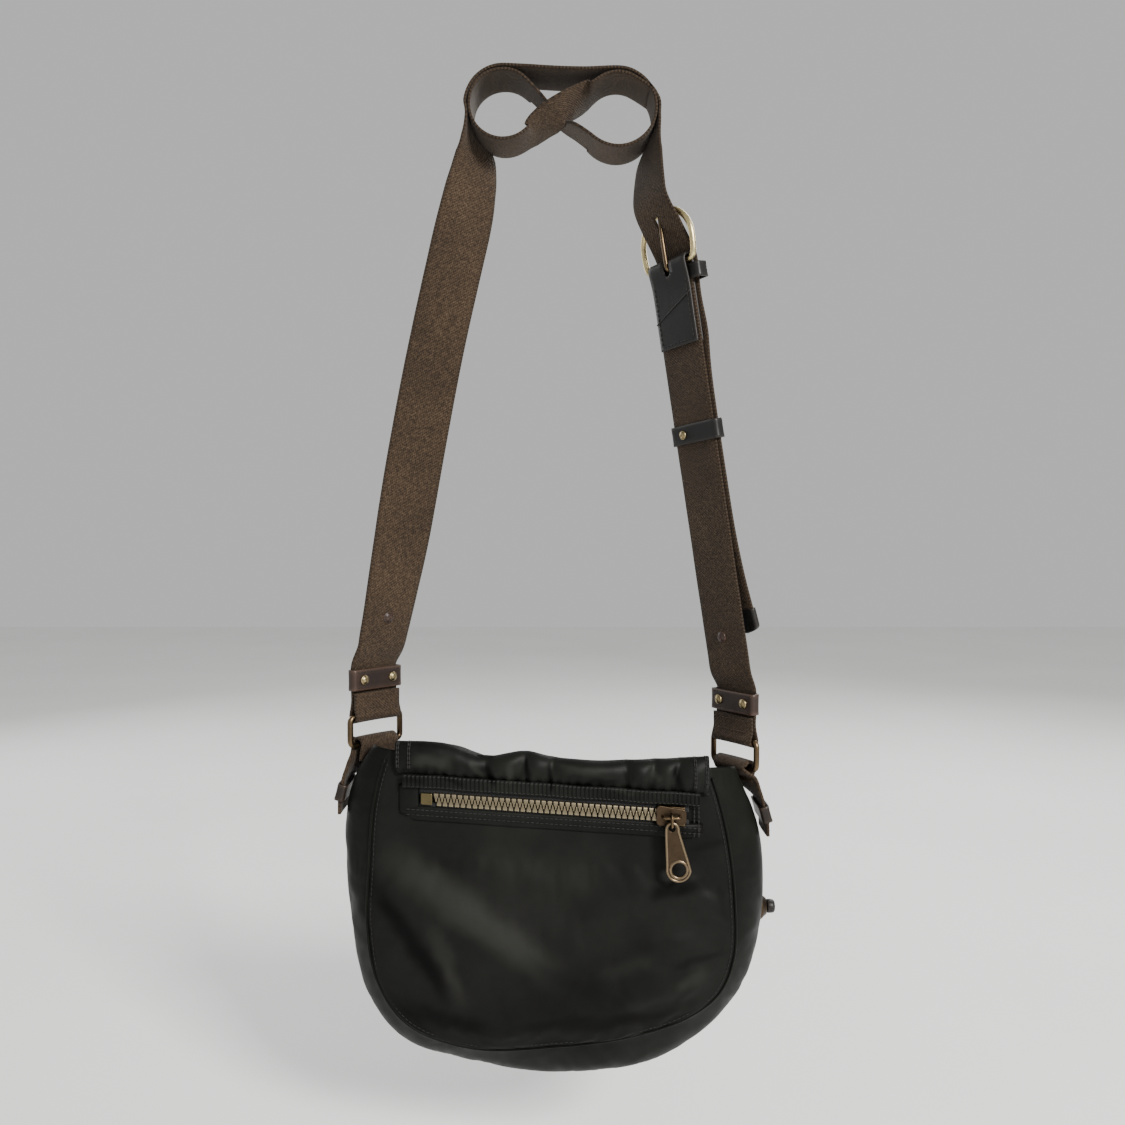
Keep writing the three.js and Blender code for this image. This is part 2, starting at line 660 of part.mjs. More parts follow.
// Side tab: folded over the ring's lower bar, then down the outside of the gusset.
function sideTab(points, ring, side) {
  const at = ringFrame(ring, side, ring.zBottom, -1);
  const path = [[2.2, 10], ...bend(4.8)].map(([n, s]) => at(-n, s));
  path.push(...points.map(([x, z]) => v3(x, ring.y, z)));
  const turn = [[0, ring.turn], [0.45, ring.turn], [0.75, 90], [1, 90]];
  return ribbon(stations(path, (t) => turned(blendTable(turn, t), side), 40), TAB.width, TAB.thick);
}

const TAB_L = [[-133, -437], [-139.5, -446], [-147.6, -457], [-150.2, -469], [-150.6, -482]];
const TAB_R = [[125.5, -453], [131, -462], [137.4, -473], [140.6, -485], [141.6, -497]];

function tabKeeper(points, side, ring) {
  const a = v3(points[2][0], ring.y, points[2][1]);
  const b = v3(points[3][0], ring.y, points[3][1]);
  const frame = localFrame(a.clone().lerp(b, 0.62), v3(0, -1, 0), b.clone().sub(a));
  return sleeve(frame, TAB.width + 4.6, 7, 1.2, 11);
}

function collar(ring, side) {
  const frame = localFrame(v3(ring.x, ring.y, ring.zTop + 25), turned(ring.turn, side), v3(0, 0, -1));
  return sleeve(frame, 42, 7.6, 1.2, 14);
}

function collarRivet(ring, side, u) {
  const w = turned(ring.turn, side);
  const out = w.clone().cross(v3(0, 0, 1));
  const facing = out.y < 0 ? out : out.negate();
  const seat = v3(ring.x, ring.y, ring.zTop + 25).addScaledVector(w, u).addScaledVector(facing, 4.2);
  return stud(seat, facing, 3.2, 1.8);
}

// ---------- buckle ----------
// Oval frame with a straight bar at its foot.
function buckleFrame() {
  const { halfW, halfH } = BUCKLE;
  const path = [];
  for (let k = 0; k <= 12; k += 1) {
    const angle = Math.PI * k / 12;
    path.push(onRun(halfW * Math.cos(angle), 0, 3 - (halfH + 3) * Math.sin(angle)));
  }
  const corner = [[-halfW + 0.6, 12], [-halfW + 4, halfH], [-8, halfH]];
  const foot = [...corner, ...corner.map(([u, s]) => [-u, s]).reverse()];
  path.push(...foot.map(([u, s]) => onRun(u, 0, s)));
  return wire(path, BUCKLE.wire, 56, true);
}

// Prong: an eye round the bar and a rod that rests on the frame's crown.
const PRONG_N = -(BUCKLE.wire + 1.3 + 0.4);

function buckleProng() {
  const eye = [];
  for (let k = 0; k < 12; k += 1) {
    const angle = 2 * Math.PI * k / 12;
    eye.push(onRun(0, 3.7 * Math.cos(angle), BUCKLE.halfH + 3.7 * Math.sin(angle)));
  }
  const rod = [[PRONG_N, BUCKLE.halfH], [PRONG_N - 0.2, 6], [PRONG_N, -8], [PRONG_N, -20.5]];
  const ring = toManifold(wire(eye, 1.1, 24, true));
  const shaft = toManifold(wire(rod.map(([n, s]) => onRun(0, n, s)), 1.3, 10));
  return fromManifold(ring.add(shaft));
}

// Leather folded round the buckle's bar, slotted for the prong.
function chape() {
  const layer = 2.4;
  const foot = BUCKLE.halfH;
  const end = CHAPE_END - foot;
  const path = [[layer, end], [layer, 14], ...bend(3.9), [-layer, 14], [-layer, end]];
  const leather = foldRound((n, s) => onRun(0, n, foot + s), RUN_W, path, WEB.width - 2, 1.8);
  const slot = [[-3, foot - 8], [3, foot - 8], [3, foot + 7], [-3, foot + 7]];
  return cut(leather, skin([-9, 9].map((n) => slot.map(([u, s]) => onRun(u, n, s)))));
}

const buckleKeeper = () => sleeve(onRunAt(TAIL_SHIFT / 2, 1.8, 36), 45, 14, 1.3, 12);
const STRAP_KEEPER_S = 132;
const strapKeeper = () => sleeve(onRunAt(TAIL_SHIFT / 2, 1.35, STRAP_KEEPER_S), 44.6, 8.6, 1.3, 13);

// Stud on the visible face of the right-hand strap.
function runStud(u, n, s, radius, height) {
  const facing = onRun(0, -1, 0).sub(onRun(0, 0, 0));
  return stud(onRun(u, n, s), facing, radius, height);
}

// Brown cap where the strap's stitched turn-in ends on the left leg.
function leftCap() {
  const points = LEG_L.map(([x, y, z]) => v3(x, y, z));
  const place = stations(points, (t) => turned(blendTable(LEG_L_TURN, t), -1), 1, 0.93, 1)[0];
  const facing = place.n.y < 0 ? place.n : place.n.clone().negate();
  return stud(place.p.addScaledVector(facing, WEB.thick / 2 + 0.3), facing, 3.6, 2);
}

// ---------- closure ----------
// Press-stud halves: the socket on the front panel and the cap through the flap.
const SNAP = { x: -6, z: -556 };

function lathedY(profile, x, y, z) {
  const geometry = new THREE.LatheGeometry(profile.map(([r, h]) => new THREE.Vector2(r, h)), 18);
  return geometry.translate(x, y, z);
}

// Domed stud with a black washer on the right of the gusset.
const sideStudBase = () => lathedY([[0, 0], [8.5, 0], [9, 2], [6.5, 5], [4.5, 6], [0, 6]], 0, 0, 0)
  .rotateZ(-Math.PI / 2).translate(137.6, 4, -547);
const sideStudCap = () => lathedY([[0, 0], [4.6, 0], [4.6, 4], [3.8, 5.6], [0, 5.6]], 0, 0, 0)
  .rotateZ(-Math.PI / 2).translate(144.1, 4, -547);

add("back_panel", backPanel(), NYLON);
add("front_panel", frontPanel(), NYLON);
add("gusset", gusset(), NYLON);
add("piping_back", piping(SEAM_OUTLINE, BACK_Y - 0.6, 0.02), NYLON);
add("piping_front", piping(frontOutline(), FRONT_Y + 0.8, 0.03), NYLON);
add("lining_back", liningPanel(BACK_Y + 9.6, SEAM_OUTLINE), LINING);
add("lining_front", liningPanel(FRONT_Y - 5, SEAM_OUTLINE), LINING);
add("zip_pocket_bag", pocketBag(), LINING);
add("flap_rear", flapRear(), NYLON);
add("flap_shell", flapShell(), NYLON);
add("flap_seam_band", seamBand(), NYLON);
add("zip_tape_upper", zipStrip(2.6, 8, ZIP.y, ZIP.y + 1), TAPE);
add("zip_tape_lower", zipStrip(-9, -2.6, ZIP.y, ZIP.y + 1), TAPE);
add("zip_teeth_upper", zipTeeth(1), BRASS);
add("zip_teeth_lower", zipTeeth(-1), BRASS);
add("zip_stop_left", zipStop(ZIP.left + 1, ZIP.left + 8.5), BRASS);
add("zip_slider", zipSlider(), BRONZE);
add("zip_pull_link", pullLink(), BRONZE);
add("zip_puller", zipPuller(), BRONZE);
add("strap_leg_left", legLeft(), WEBBING);
add("strap_over_left", arc(LOOP_L, R_OUTER, 179, 89), WEBBING);
add("strap_top_band", topBand(), WEBBING);
add("strap_outer_right_top", arc(LOOP_R, R_OUTER, 91, 1), WEBBING);
add("strap_outer_right_base", arc(LOOP_R, R_OUTER, -1, -126), WEBBING);
add("strap_cross_far", crossFar(), WEBBING);
add("strap_inner_left_top", arc(LOOP_L, R_INNER, 56, 179), WEBBING);
add("strap_inner_left_base", arc(LOOP_L, R_INNER, 181, 302), WEBBING);
add("strap_cross_near", crossNear(), WEBBING);
add("strap_inner_right_top", arc(LOOP_R, R_INNER, 124, 8), WEBBING);
add("strap_leg_right_upper", legRightUpper(), WEBBING);
add("strap_leg_right_lower", lowerRight(), WEBBING);
add("strap_tail", tail(), WEBBING);
add("strap_tail_tip", tailTip(), LEATHER);
add("strap_fold_left", strapFold(RING_L, -1), WEBBING);
add("strap_fold_right", strapFold(RING_R, 1), WEBBING);
add("collar_left", collar(RING_L, -1), LEATHER);
add("collar_right", collar(RING_R, 1), LEATHER);
for (const [name, ring, side] of [["left", RING_L, -1], ["right", RING_R, 1]]) {
  add(`ring_${name}`, ringLoop(ring, side), BRONZE);
  add(`collar_rivet_${name}_outer`, collarRivet(ring, side, 12), BRASS);
  add(`collar_rivet_${name}_inner`, collarRivet(ring, side, -12), BRASS);
}
add("side_tab_left", sideTab(TAB_L, RING_L, -1), WEBBING);
add("side_tab_right", sideTab(TAB_R, RING_R, 1), WEBBING);
add("tab_keeper_left", tabKeeper(TAB_L, -1, RING_L), LEATHER);
add("tab_keeper_right", tabKeeper(TAB_R, 1, RING_R), LEATHER);
add("buckle_frame", buckleFrame(), BRASS);
add("buckle_prong", buckleProng(), BRASS);
add("buckle_chape", chape(), LEATHER);
add("buckle_keeper", buckleKeeper(), LEATHER);
add("strap_keeper", strapKeeper(), LEATHER);
add("strap_keeper_rivet", runStud(-9, 1.35 - 4.6, STRAP_KEEPER_S, 3, 1.8), BRASS);
add("strap_cap_left", leftCap(), LEATHER);
add("strap_cap_right", runStud(-2, -1.3, 272, 3.6, 2), LEATHER);
add("snap_socket", lathedY([[0, 0], [7, 0], [7, 1.6], [0, 1.6]], SNAP.x, 26.5, SNAP.z), BRASS);
add("snap_stud", lathedY([[0, 0], [7, 0], [7, 1.8], [0, 1.8]], SNAP.x, 29.4, SNAP.z), BRASS);
add("side_stud_base", sideStudBase(), BRONZE);
add("side_stud_cap", sideStudCap(), LEATHER);

export default bag;
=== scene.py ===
"""Looks of the messenger bag: soft shell, flap, webbing, leather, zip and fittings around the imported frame.
Lengths are in millimetres until a mesh is made, and metres in Blender."""
import json
import math
import bmesh
import bpy
import numpy as np
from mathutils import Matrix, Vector, noise


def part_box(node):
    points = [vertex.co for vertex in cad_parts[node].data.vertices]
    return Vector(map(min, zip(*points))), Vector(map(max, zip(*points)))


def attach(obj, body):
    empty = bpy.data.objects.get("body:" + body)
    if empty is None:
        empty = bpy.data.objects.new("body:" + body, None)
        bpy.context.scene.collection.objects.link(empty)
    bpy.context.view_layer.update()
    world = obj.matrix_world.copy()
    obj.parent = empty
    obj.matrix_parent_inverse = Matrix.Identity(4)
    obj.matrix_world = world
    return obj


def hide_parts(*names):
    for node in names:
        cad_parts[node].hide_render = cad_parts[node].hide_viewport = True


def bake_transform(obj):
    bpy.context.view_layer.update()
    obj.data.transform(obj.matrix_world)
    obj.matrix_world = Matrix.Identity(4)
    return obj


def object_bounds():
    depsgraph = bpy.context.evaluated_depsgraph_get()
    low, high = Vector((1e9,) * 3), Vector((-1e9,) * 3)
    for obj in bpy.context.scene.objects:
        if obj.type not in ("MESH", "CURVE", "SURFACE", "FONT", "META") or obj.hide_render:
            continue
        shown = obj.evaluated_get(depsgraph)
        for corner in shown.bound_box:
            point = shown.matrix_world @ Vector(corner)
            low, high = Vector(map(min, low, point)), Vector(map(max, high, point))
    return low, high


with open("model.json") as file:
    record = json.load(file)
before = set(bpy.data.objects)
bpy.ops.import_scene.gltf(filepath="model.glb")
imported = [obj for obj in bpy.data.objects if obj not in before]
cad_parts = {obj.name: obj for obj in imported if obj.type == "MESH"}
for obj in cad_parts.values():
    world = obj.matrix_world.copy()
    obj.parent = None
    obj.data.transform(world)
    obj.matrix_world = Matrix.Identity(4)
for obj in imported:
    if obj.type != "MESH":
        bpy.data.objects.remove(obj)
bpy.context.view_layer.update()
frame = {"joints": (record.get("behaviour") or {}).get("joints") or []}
MM = 0.001


# ---------- camera ----------
CAMERA_AT = (0.0013, -0.730, -0.2812)
CAMERA_TILT = 88                                   # degrees: 90 looks level
LENS = 34.0


def make_camera():
    data = bpy.data.cameras.new("camera")
    data.lens = LENS
    data.sensor_width = 36
    data.clip_start = 0.01
    camera = bpy.data.objects.new("camera", data)
    camera.location = CAMERA_AT
    camera.rotation_euler = (math.radians(CAMERA_TILT), 0, 0)
    bpy.context.scene.collection.objects.link(camera)
    bpy.context.scene.camera = camera


make_camera()

# ---------- driving dimensions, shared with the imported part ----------
WEB_WIDTH = 38
WEB_THICK = 1.8
STRAP_STEP = 2.2                                   # between the stations of a strap
TAB_STEP = 1.6
R_INNER = 22.6
R_OUTER = 25.4
BACK_Y = -38
FRONT_Y = 22
FABRIC = 1.2
GUSSET_OUTLINE = [
    (-130, -426), (-139, -441), (-144.6, -475), (-144.6, -505), (-140.5, -550), (-130, -598),
    (-105, -629), (-60, -643.5), (-5, -652.5), (56, -646.5), (93, -626), (120, -597), (132, -566),
    (136.5, -520), (134.8, -492), (129, -466), (120, -441),
]
SEAM_OUTLINE = [
    (-112, -428), (-117, -440), (-123, -466), (-126, -505), (-127.5, -545), (-121, -582), (-101, -611),
    (-58, -627), (-5, -626), (43, -620), (83, -607), (105, -590), (114.5, -566), (115, -530), (111, -492),
    (104, -461), (97, -440),
]


def corners(node):
    low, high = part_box(node)
    return np.array(low) / MM, np.array(high) / MM


def middle(node):
    low, high = corners(node)
    return (low + high) / 2


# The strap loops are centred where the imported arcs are.
LOOP_L = np.array([corners("strap_over_left")[0][0] + R_OUTER + WEB_THICK / 2, 0, -2.5])
LOOP_R = np.array([corners("strap_outer_right_top")[1][0] - R_OUTER - WEB_THICK / 2, 0, -4.5])
JOINTS = {joint["name"]: joint for joint in frame["joints"]}


# ---------- geometry helpers ----------
def vec(*values):
    return np.array(values, float)


REARWARD, FORWARD, UPWARD = vec(0, -1, 0), vec(0, 1, 0), vec(0, 0, 1)


def unit(value):
    value = np.asarray(value, float)
    return value / np.maximum(np.linalg.norm(value, axis=-1, keepdims=True), 1e-12)


def smooth_path(points, shares, closed=False):
    """Points at shares (0 to 1) of the length of a smooth curve through given points."""
    p = np.asarray(points, float)
    if closed:
        ext = np.vstack([p[-1], p, p[0], p[1]])
    else:
        ext = np.vstack([2 * p[0] - p[1], p, 2 * p[-1] - p[-2]])
    dense = []
    fine = 14
    for k in range(1, len(ext) - 2):
        p0, p1, p2, p3 = ext[k - 1:k + 3]
        knots = [0.0]
        for a, b in ((p0, p1), (p1, p2), (p2, p3)):
            knots.append(knots[-1] + max(np.linalg.norm(b - a), 1e-6) ** 0.5)
        t0, t1, t2, t3 = knots
        t = np.linspace(t1, t2, fine, endpoint=False)[:, None]
        mix = lambda a, b, start, end: (end - t) / (end - start) * a + (t - start) / (end - start) * b
        a1, a2, a3 = mix(p0, p1, t0, t1), mix(p1, p2, t1, t2), mix(p2, p3, t2, t3)
        dense.append(mix(mix(a1, a2, t0, t2), mix(a2, a3, t1, t3), t1, t2))
    dense = np.vstack(dense + [ext[-2][None]])
    run = run_of(dense)
    wanted = np.asarray(shares, float) * run[-1]
    return np.stack([np.interp(wanted, run, dense[:, k]) for k in range(3)], axis=1)


def run_of(points):
    """Length along a line of points, at each point."""
    return np.concatenate([[0], np.cumsum(np.linalg.norm(np.diff(points, axis=0), axis=1))])


def full_turn(count):
    return np.linspace(0, 2 * math.pi, count, endpoint=False)


def arc(u, v, radius, angles):
    return [(u + radius * math.cos(a), v + radius * math.sin(a)) for a in angles]


def rounded(half_u, half_v, corner, count):
    """Points (u, v) round a centred rectangle with rounded corners."""
    points = []
    for su, sv, start in ((1, 1, 0), (-1, 1, 90), (-1, -1, 180), (1, -1, 270)):
        angles = np.radians(np.linspace(start, start + 90, count))
        points += arc(su * (half_u - corner), sv * (half_v - corner), corner, angles)
    return points


def along(points, step, closed=False):
    """Evenly spaced points about step apart on a smooth curve."""
    rough = smooth_path(points, np.linspace(0, 1, 200), closed)
    count = max(4, int(round(run_of(rough)[-1] / step)))
    shares = np.linspace(0, 1, count + 1)
    return smooth_path(points, shares[:-1] if closed else shares, closed)


def make_mesh(name, points, faces, material, body="bag", lay=None, smooth=True):
    """A mesh piece that rides on a body; lay holds each point's place in its cloth or strap, in metres."""
    mesh = bpy.data.meshes.new(name)
    mesh.from_pydata((np.asarray(points) * MM).tolist(), [], faces)
    mesh.validate()
    mesh.update()
    if lay is not None:
        layer = mesh.attributes.new("lay", "FLOAT_VECTOR", "POINT")
        layer.data.foreach_set("vector", (np.asarray(lay, float) * MM).astype(np.float32).ravel())
    mesh.materials.append(material)
    mesh.shade_smooth() if smooth else mesh.shade_flat()
    piece = bpy.data.objects.new(name, mesh)
    bpy.context.scene.collection.objects.link(piece)
    recalc(piece)
    if body:
        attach(piece, body)
    return piece


def dress(piece, slot, *nodes):
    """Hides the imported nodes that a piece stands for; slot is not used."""
    if nodes:
        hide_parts(*nodes)
    return piece


def recalc(piece):
    """Turns every face outwards."""
    work = bmesh.new()
    work.from_mesh(piece.data)
    bmesh.ops.recalc_face_normals(work, faces=work.faces)
    work.to_mesh(piece.data)
    work.free()


def modify(piece, kind, **settings):
    """Adds a modifier, sets it up and applies it."""
    modifier = piece.modifiers.new(kind.lower(), kind)
    for key, value in settings.items():
        setattr(modifier, key, value)
    bpy.context.view_layer.objects.active = piece
    with bpy.context.temp_override(object=piece, active_object=piece, selected_objects=[piece]):
        bpy.ops.object.modifier_apply(modifier=modifier.name)
    return piece


def ring_faces(rows, cols, closed, caps=True):
    faces = []
    for i in range(rows if closed else rows - 1):
        j = np.arange(cols)
        a = i * cols + j
        b = i * cols + (j + 1) % cols
        low = (i + 1) % rows * cols
        faces += np.stack([a, b, low + (j + 1) % cols, low + j], axis=1).tolist()
    if not closed and caps:
        faces.append(list(range(cols)))
        faces.append(list(range((rows - 1) * cols, rows * cols))[::-1])
    return faces


def tangents_of(path, closed):
    if closed:
        return unit(np.roll(path, -1, 0) - np.roll(path, 1, 0))
    return unit(np.gradient(path, axis=0))


def band_frame(centres, widths, closed=False):
    """Width and thickness direction at each station of a band."""
    tangents = tangents_of(centres, closed)
    widths = np.asarray(widths, float)
    widths = unit(widths - (widths * tangents).sum(1)[:, None] * tangents)
    return widths, np.cross(tangents, widths)


def band(name, centres, widths, width, thick, material, body="bag", closed=False, share=None, cup=0.0,
        cols=12):
    """Webbing or leather strip with rounded edges; share narrows it along its run, cup hollows it across."""
    across, out = band_frame(centres, widths, closed)
    u = np.linspace(1, -1, cols + 1) * 0.97
    edge = [(-1.0, 0.5), (-1.0, -0.5)]
    section = [(a, 1.0) for a in u] + edge + [(-a, -1.0) for a in u] + [(-a, -b) for a, b in edge]
    section = np.array(section)
    run = run_of(centres)
    share = np.ones(len(centres)) if share is None else np.asarray(share)
    half = width / 2 * share
    side = section[None, :, 0] * half[:, None]
    depth = section[None, :, 1] * thick / 2 + cup * (1 - section[None, :, 0] ** 2)
    points = centres[:, None] + across[:, None] * side[..., None] + out[:, None] * depth[..., None]
    lay = np.stack([np.broadcast_to(section[None, :, 0] * width / 2, side.shape),
        np.broadcast_to(run[:, None], side.shape), np.broadcast_to(section[None, :, 1], side.shape)],
        axis=-1)
    faces = ring_faces(len(centres), len(section), closed)
    return make_mesh(name, points.reshape(-1, 3), faces, material, body, lay.reshape(-1, 3))


def tube_rings(path, radius, sides, closed):
    """Rings of points round a path, with no twist from one to the next."""
    path = np.asarray(path, float)
    tangents = tangents_of(path, closed)
    start = np.eye(3)[np.argmin(np.abs(tangents[0]))]
    normal = unit(np.cross(tangents[0], start))
    normals = [normal]
    for tangent in tangents[1:]:
        normal = unit(normal - tangent * normal.dot(tangent))
        normals.append(normal)
    normals = np.array(normals)
    binormals = np.cross(tangents, normals)
    if closed:
        # spread the leftover twist round the loop so that the ends meet
        last = unit(normals[-1] - tangents[0] * normals[-1].dot(tangents[0]))
        twist = math.atan2(last.dot(binormals[0]), last.dot(normals[0]))
        turn = -twist * np.arange(len(path)) / len(path)
        cos, sin = np.cos(turn)[:, None], np.sin(turn)[:, None]
        normals, binormals = normals * cos + binormals * sin, binormals * cos - normals * sin
    angle = full_turn(sides)
    radius = np.broadcast_to(np.asarray(radius, float), (len(path),))
    spokes = normals[:, None] * np.cos(angle)[None, :, None] + binormals[:, None] * np.sin(angle)[None, :,
        None]
    return path[:, None] + spokes * radius[:, None, None]


def tube(name, path, radius, material, body="bag", sides=16, closed=False):
    rings = tube_rings(path, radius, sides, closed)
    faces = ring_faces(len(path), sides, closed)
    return make_mesh(name, rings.reshape(-1, 3), faces, material, body)


def lathe(name, profile, centre, axis, material, body="bag", sides=40):
    """A turned piece; profile lists (radius, height along axis)."""
    axis = unit(axis)
    start = np.eye(3)[np.argmin(np.abs(axis))]
    x = unit(np.cross(axis, start))
    y = np.cross(axis, x)
    angle = full_turn(sides)
    spokes = x[None] * np.cos(angle)[:, None] + y[None] * np.sin(angle)[:, None]
    rings = [np.asarray(centre) + axis * h + spokes * max(r, 0.02) for r, h in profile]
    faces = ring_faces(len(profile), sides, False)
    return make_mesh(name, np.vstack(rings), faces, material, body)


def sheet_points(grid, thick):
    """Both faces of a grid of points thickened along its normals."""
    normal = unit(np.cross(np.gradient(grid, axis=0), np.gradient(grid, axis=1)))
    return grid, grid + normal * thick


def grid_piece(name, grid, thick, material, body="bag"):
    """A closed sheet of cloth from a grid of points."""
    rows, cols = grid.shape[:2]
    outer, inner = sheet_points(grid, thick)
    points = np.vstack([outer.reshape(-1, 3), inner.reshape(-1, 3)])
    n = rows * cols
    faces = []
    for i in range(rows - 1):
        for j in range(cols - 1):
            a = i * cols + j
            faces.append([a, a + 1, a + cols + 1, a + cols])
            faces.append([n + a, n + a + cols, n + a + cols + 1, n + a + 1])
    border = list(range(cols)) + [i * cols + cols - 1 for i in range(1, rows)]
    border += list(range(n - 2, n - cols - 1, -1)) + [i * cols for i in range(rows - 2, 0, -1)]
    for a, b in zip(border, border[1:] + border[:1]):
        faces.append([a, n + a, n + b, b])
    return make_mesh(name, points, faces, material, body)


def stitches(name, path, up, pitch=3.2, length=2.3, radius=0.32, brown=False, body="bag"):
    """A row of sewn stitches along a path; up is the outward direction at each point of the path."""
    path = np.asarray(path, float)
    up = np.broadcast_to(np.asarray(up, float), path.shape)
    run = run_of(path)
    count = max(1, int(run[-1] / pitch))
    middles = (np.arange(count) + 0.5) * run[-1] / count
    lift = 0.1
    points, faces = [], []
    bow = [(-0.5, 0.35, -0.35), (-0.42, 0.8, 0.1), (-0.2, 1, 0.3), (0.2, 1, 0.3), (0.42, 0.8, 0.1),
        (0.5, 0.35, -0.35)]
    for s in middles:
        at = lambda q: np.array([np.interp(q, run, path[:, k]) for k in range(3)])
        normal = unit(np.array([np.interp(s, run, up[:, k]) for k in range(3)]))
        line = [at(s + a * length) + normal * (lift + radius * h) for a, _, h in bow]
        rings = tube_rings(line, [radius * w for _, w, _ in bow], 6, False)
        base = sum(len(p) for p in points)
        points.append(rings.reshape(-1, 3))
        faces += [[base + k for k in face] for face in ring_faces(len(line), 6, False)]
    return make_mesh(name, np.vstack(points), faces, THREAD_BROWN if brown else THREAD, body)


def fractal(p, scale, seed=0.0):
    """Smooth noise from -1 to 1 at a point in millimetres; scale is the size of its features."""
    return noise.noise(Vector((p[0] / scale + seed, p[1] / scale - seed, p[2] / scale + 2 * seed)))


def lerp(a, b, t):
    return a + (b - a) * t


def turned(degrees, side):
    """Width direction turned about Z: side -1 puts the left edge forward, +1 the right edge."""
    angle = np.radians(degrees)
    return np.stack([side * np.cos(angle), -np.sin(angle), 0 * angle], axis=-1)


# ---------- materials ----------
class Paint:
    """A node material under construction."""

    def __init__(self, name, roughness, metallic=0.0, **constants):
        self.material = bpy.data.materials.new(name)
        self.material.use_nodes = True
        self.tree = self.material.node_tree
        self.shader = self.tree.nodes["Principled BSDF"]
        self.shader.inputs["Roughness"].default_value = roughness
        self.shader.inputs["Metallic"].default_value = metallic
        for key, value in constants.items():
            self.shader.inputs[key.replace("_", " ")].default_value = value
        self.place = self.add("ShaderNodeTexCoord").outputs["Object"]
        self.height = None

    def add(self, kind, inputs=None, **settings):
        node = self.tree.nodes.new(kind)
        for key, value in settings.items():
            setattr(node, key, value)
        for key, value in (inputs or {}).items():
            if isinstance(value, bpy.types.NodeSocket):
                self.tree.links.new(value, node.inputs[key])
            else:
                node.inputs[key].default_value = value
        return node

    def lay(self):
        return self.add("ShaderNodeAttribute", attribute_name="lay").outputs["Vector"]

    def noise(self, scale, detail=3.0, rough=0.5, where=None, distortion=0.0):
        return self.add("ShaderNodeTexNoise", {"Vector": where or self.place, "Scale": scale,
            "Detail": detail, "Roughness": rough, "Distortion": distortion}).outputs["Fac"]

    def cells(self, scale, feature="F1", where=None):
        return self.add("ShaderNodeTexVoronoi", {"Vector": where or self.place, "Scale": scale},
            feature=feature).outputs["Distance"]

    def math(self, operation, a, b=0.0):
        return self.add("ShaderNodeMath", {0: a, 1: b}, operation=operation).outputs[0]

    def plus(self, a, b):
        return self.math("ADD", a, b)

    def minus(self, a, b):
        return self.math("SUBTRACT", a, b)

    def times(self, a, b):
        return self.math("MULTIPLY", a, b)

    def ramp(self, value, stops):
        """Colour from a value through (position, colour) stops."""
        node = self.add("ShaderNodeValToRGB", {"Fac": value})
        elements = node.color_ramp.elements
        while len(elements) < len(stops):
            elements.new(0.5)
        for element, (position, colour) in zip(elements, stops):
            element.position = position
            element.color = (*colour, 1)
        return node.outputs["Color"]

    def span(self, value, low, high, start=0.0, end=1.0):
        return self.add("ShaderNodeMapRange", {"Value": value, "From Min": start, "From Max": end,
            "To Min": low, "To Max": high}).outputs["Result"]

    def blend(self, share, a, b, how="MIX"):
        node = self.add("ShaderNodeMix", data_type="RGBA", blend_type=how)
        for socket, value in ((node.inputs[0], share), (node.inputs[6], a), (node.inputs[7], b)):
            if isinstance(value, bpy.types.NodeSocket):
                self.tree.links.new(value, socket)
            elif isinstance(value, tuple):
                socket.default_value = (*value, 1)
            else:
                socket.default_value = value
        return node.outputs[2]

    def colour(self, value):
        self.tree.links.new(value, self.shader.inputs["Base Color"])

    def roughness(self, value):
        self.tree.links.new(value, self.shader.inputs["Roughness"])

    def relief(self, height, distance, strength=1.0):
        """Adds one layer of bump; distance is its depth in metres."""
        inputs = {"Height": height, "Distance": distance, "Strength": strength}
        if self.height:
            inputs["Normal"] = self.height
        self.height = self.add("ShaderNodeBump", inputs).outputs["Normal"]
        self.tree.links.new(self.height, self.shader.inputs["Normal"])

    def streaks(self, folds):
        """Share from 0 to 1 that peaks along each fold and fades off its sides and ends."""
        split = self.add("ShaderNodeSeparateXYZ", {"Vector": self.place}).outputs
        wander = self.span(self.noise(38, 2), -0.007, 0.007)
        total = None
        for x0, z0, x1, z1, half, strength in folds:
            length = math.hypot(x1 - x0, z1 - z0) * MM
            tx, tz = (x1 - x0) * MM / length, (z1 - z0) * MM / length
            x = self.minus(split["X"], x0 * MM)
            z = self.minus(split["Z"], z0 * MM)
            run = self.plus(self.times(x, tx), self.times(z, tz))
            off = self.plus(self.minus(self.times(x, tz), self.times(z, tx)), wander)
            side = self.soft(self.math("ABSOLUTE", off), half * MM, 0.0)
            middle = self.math("ABSOLUTE", self.minus(run, length / 2))
            share = self.times(self.times(side, self.soft(middle, length * 0.56, length * 0.2)), strength)
            total = share if total is None else self.math("MAXIMUM", total, share)
        rear = self.span(split["Y"], 1.0, 0.0, -0.038, -0.034)
        return self.times(total, rear)

    def soft(self, value, start, end):
        return self.add("ShaderNodeMapRange", {"Value": value, "From Min": start, "From Max": end},
            interpolation_type="SMOOTHERSTEP").outputs["Result"]

    def edge_wear_and_highlight(self, low=0.50, high=0.60):
        """Share of edge wear, also used on leather as a painted edge highlight: 1 on sharp outer edges, 0 on
        flats.
        """
        pointy = self.add("ShaderNodeNewGeometry").outputs["Pointiness"]
        return self.span(pointy, 0.0, 1.0, low, high)

    def waves(self, where, scale, direction="X"):
        return self.add("ShaderNodeTexWave", {"Vector": where, "Scale": scale, "Distortion": 0.0},
            bands_direction=direction).outputs["Fac"]
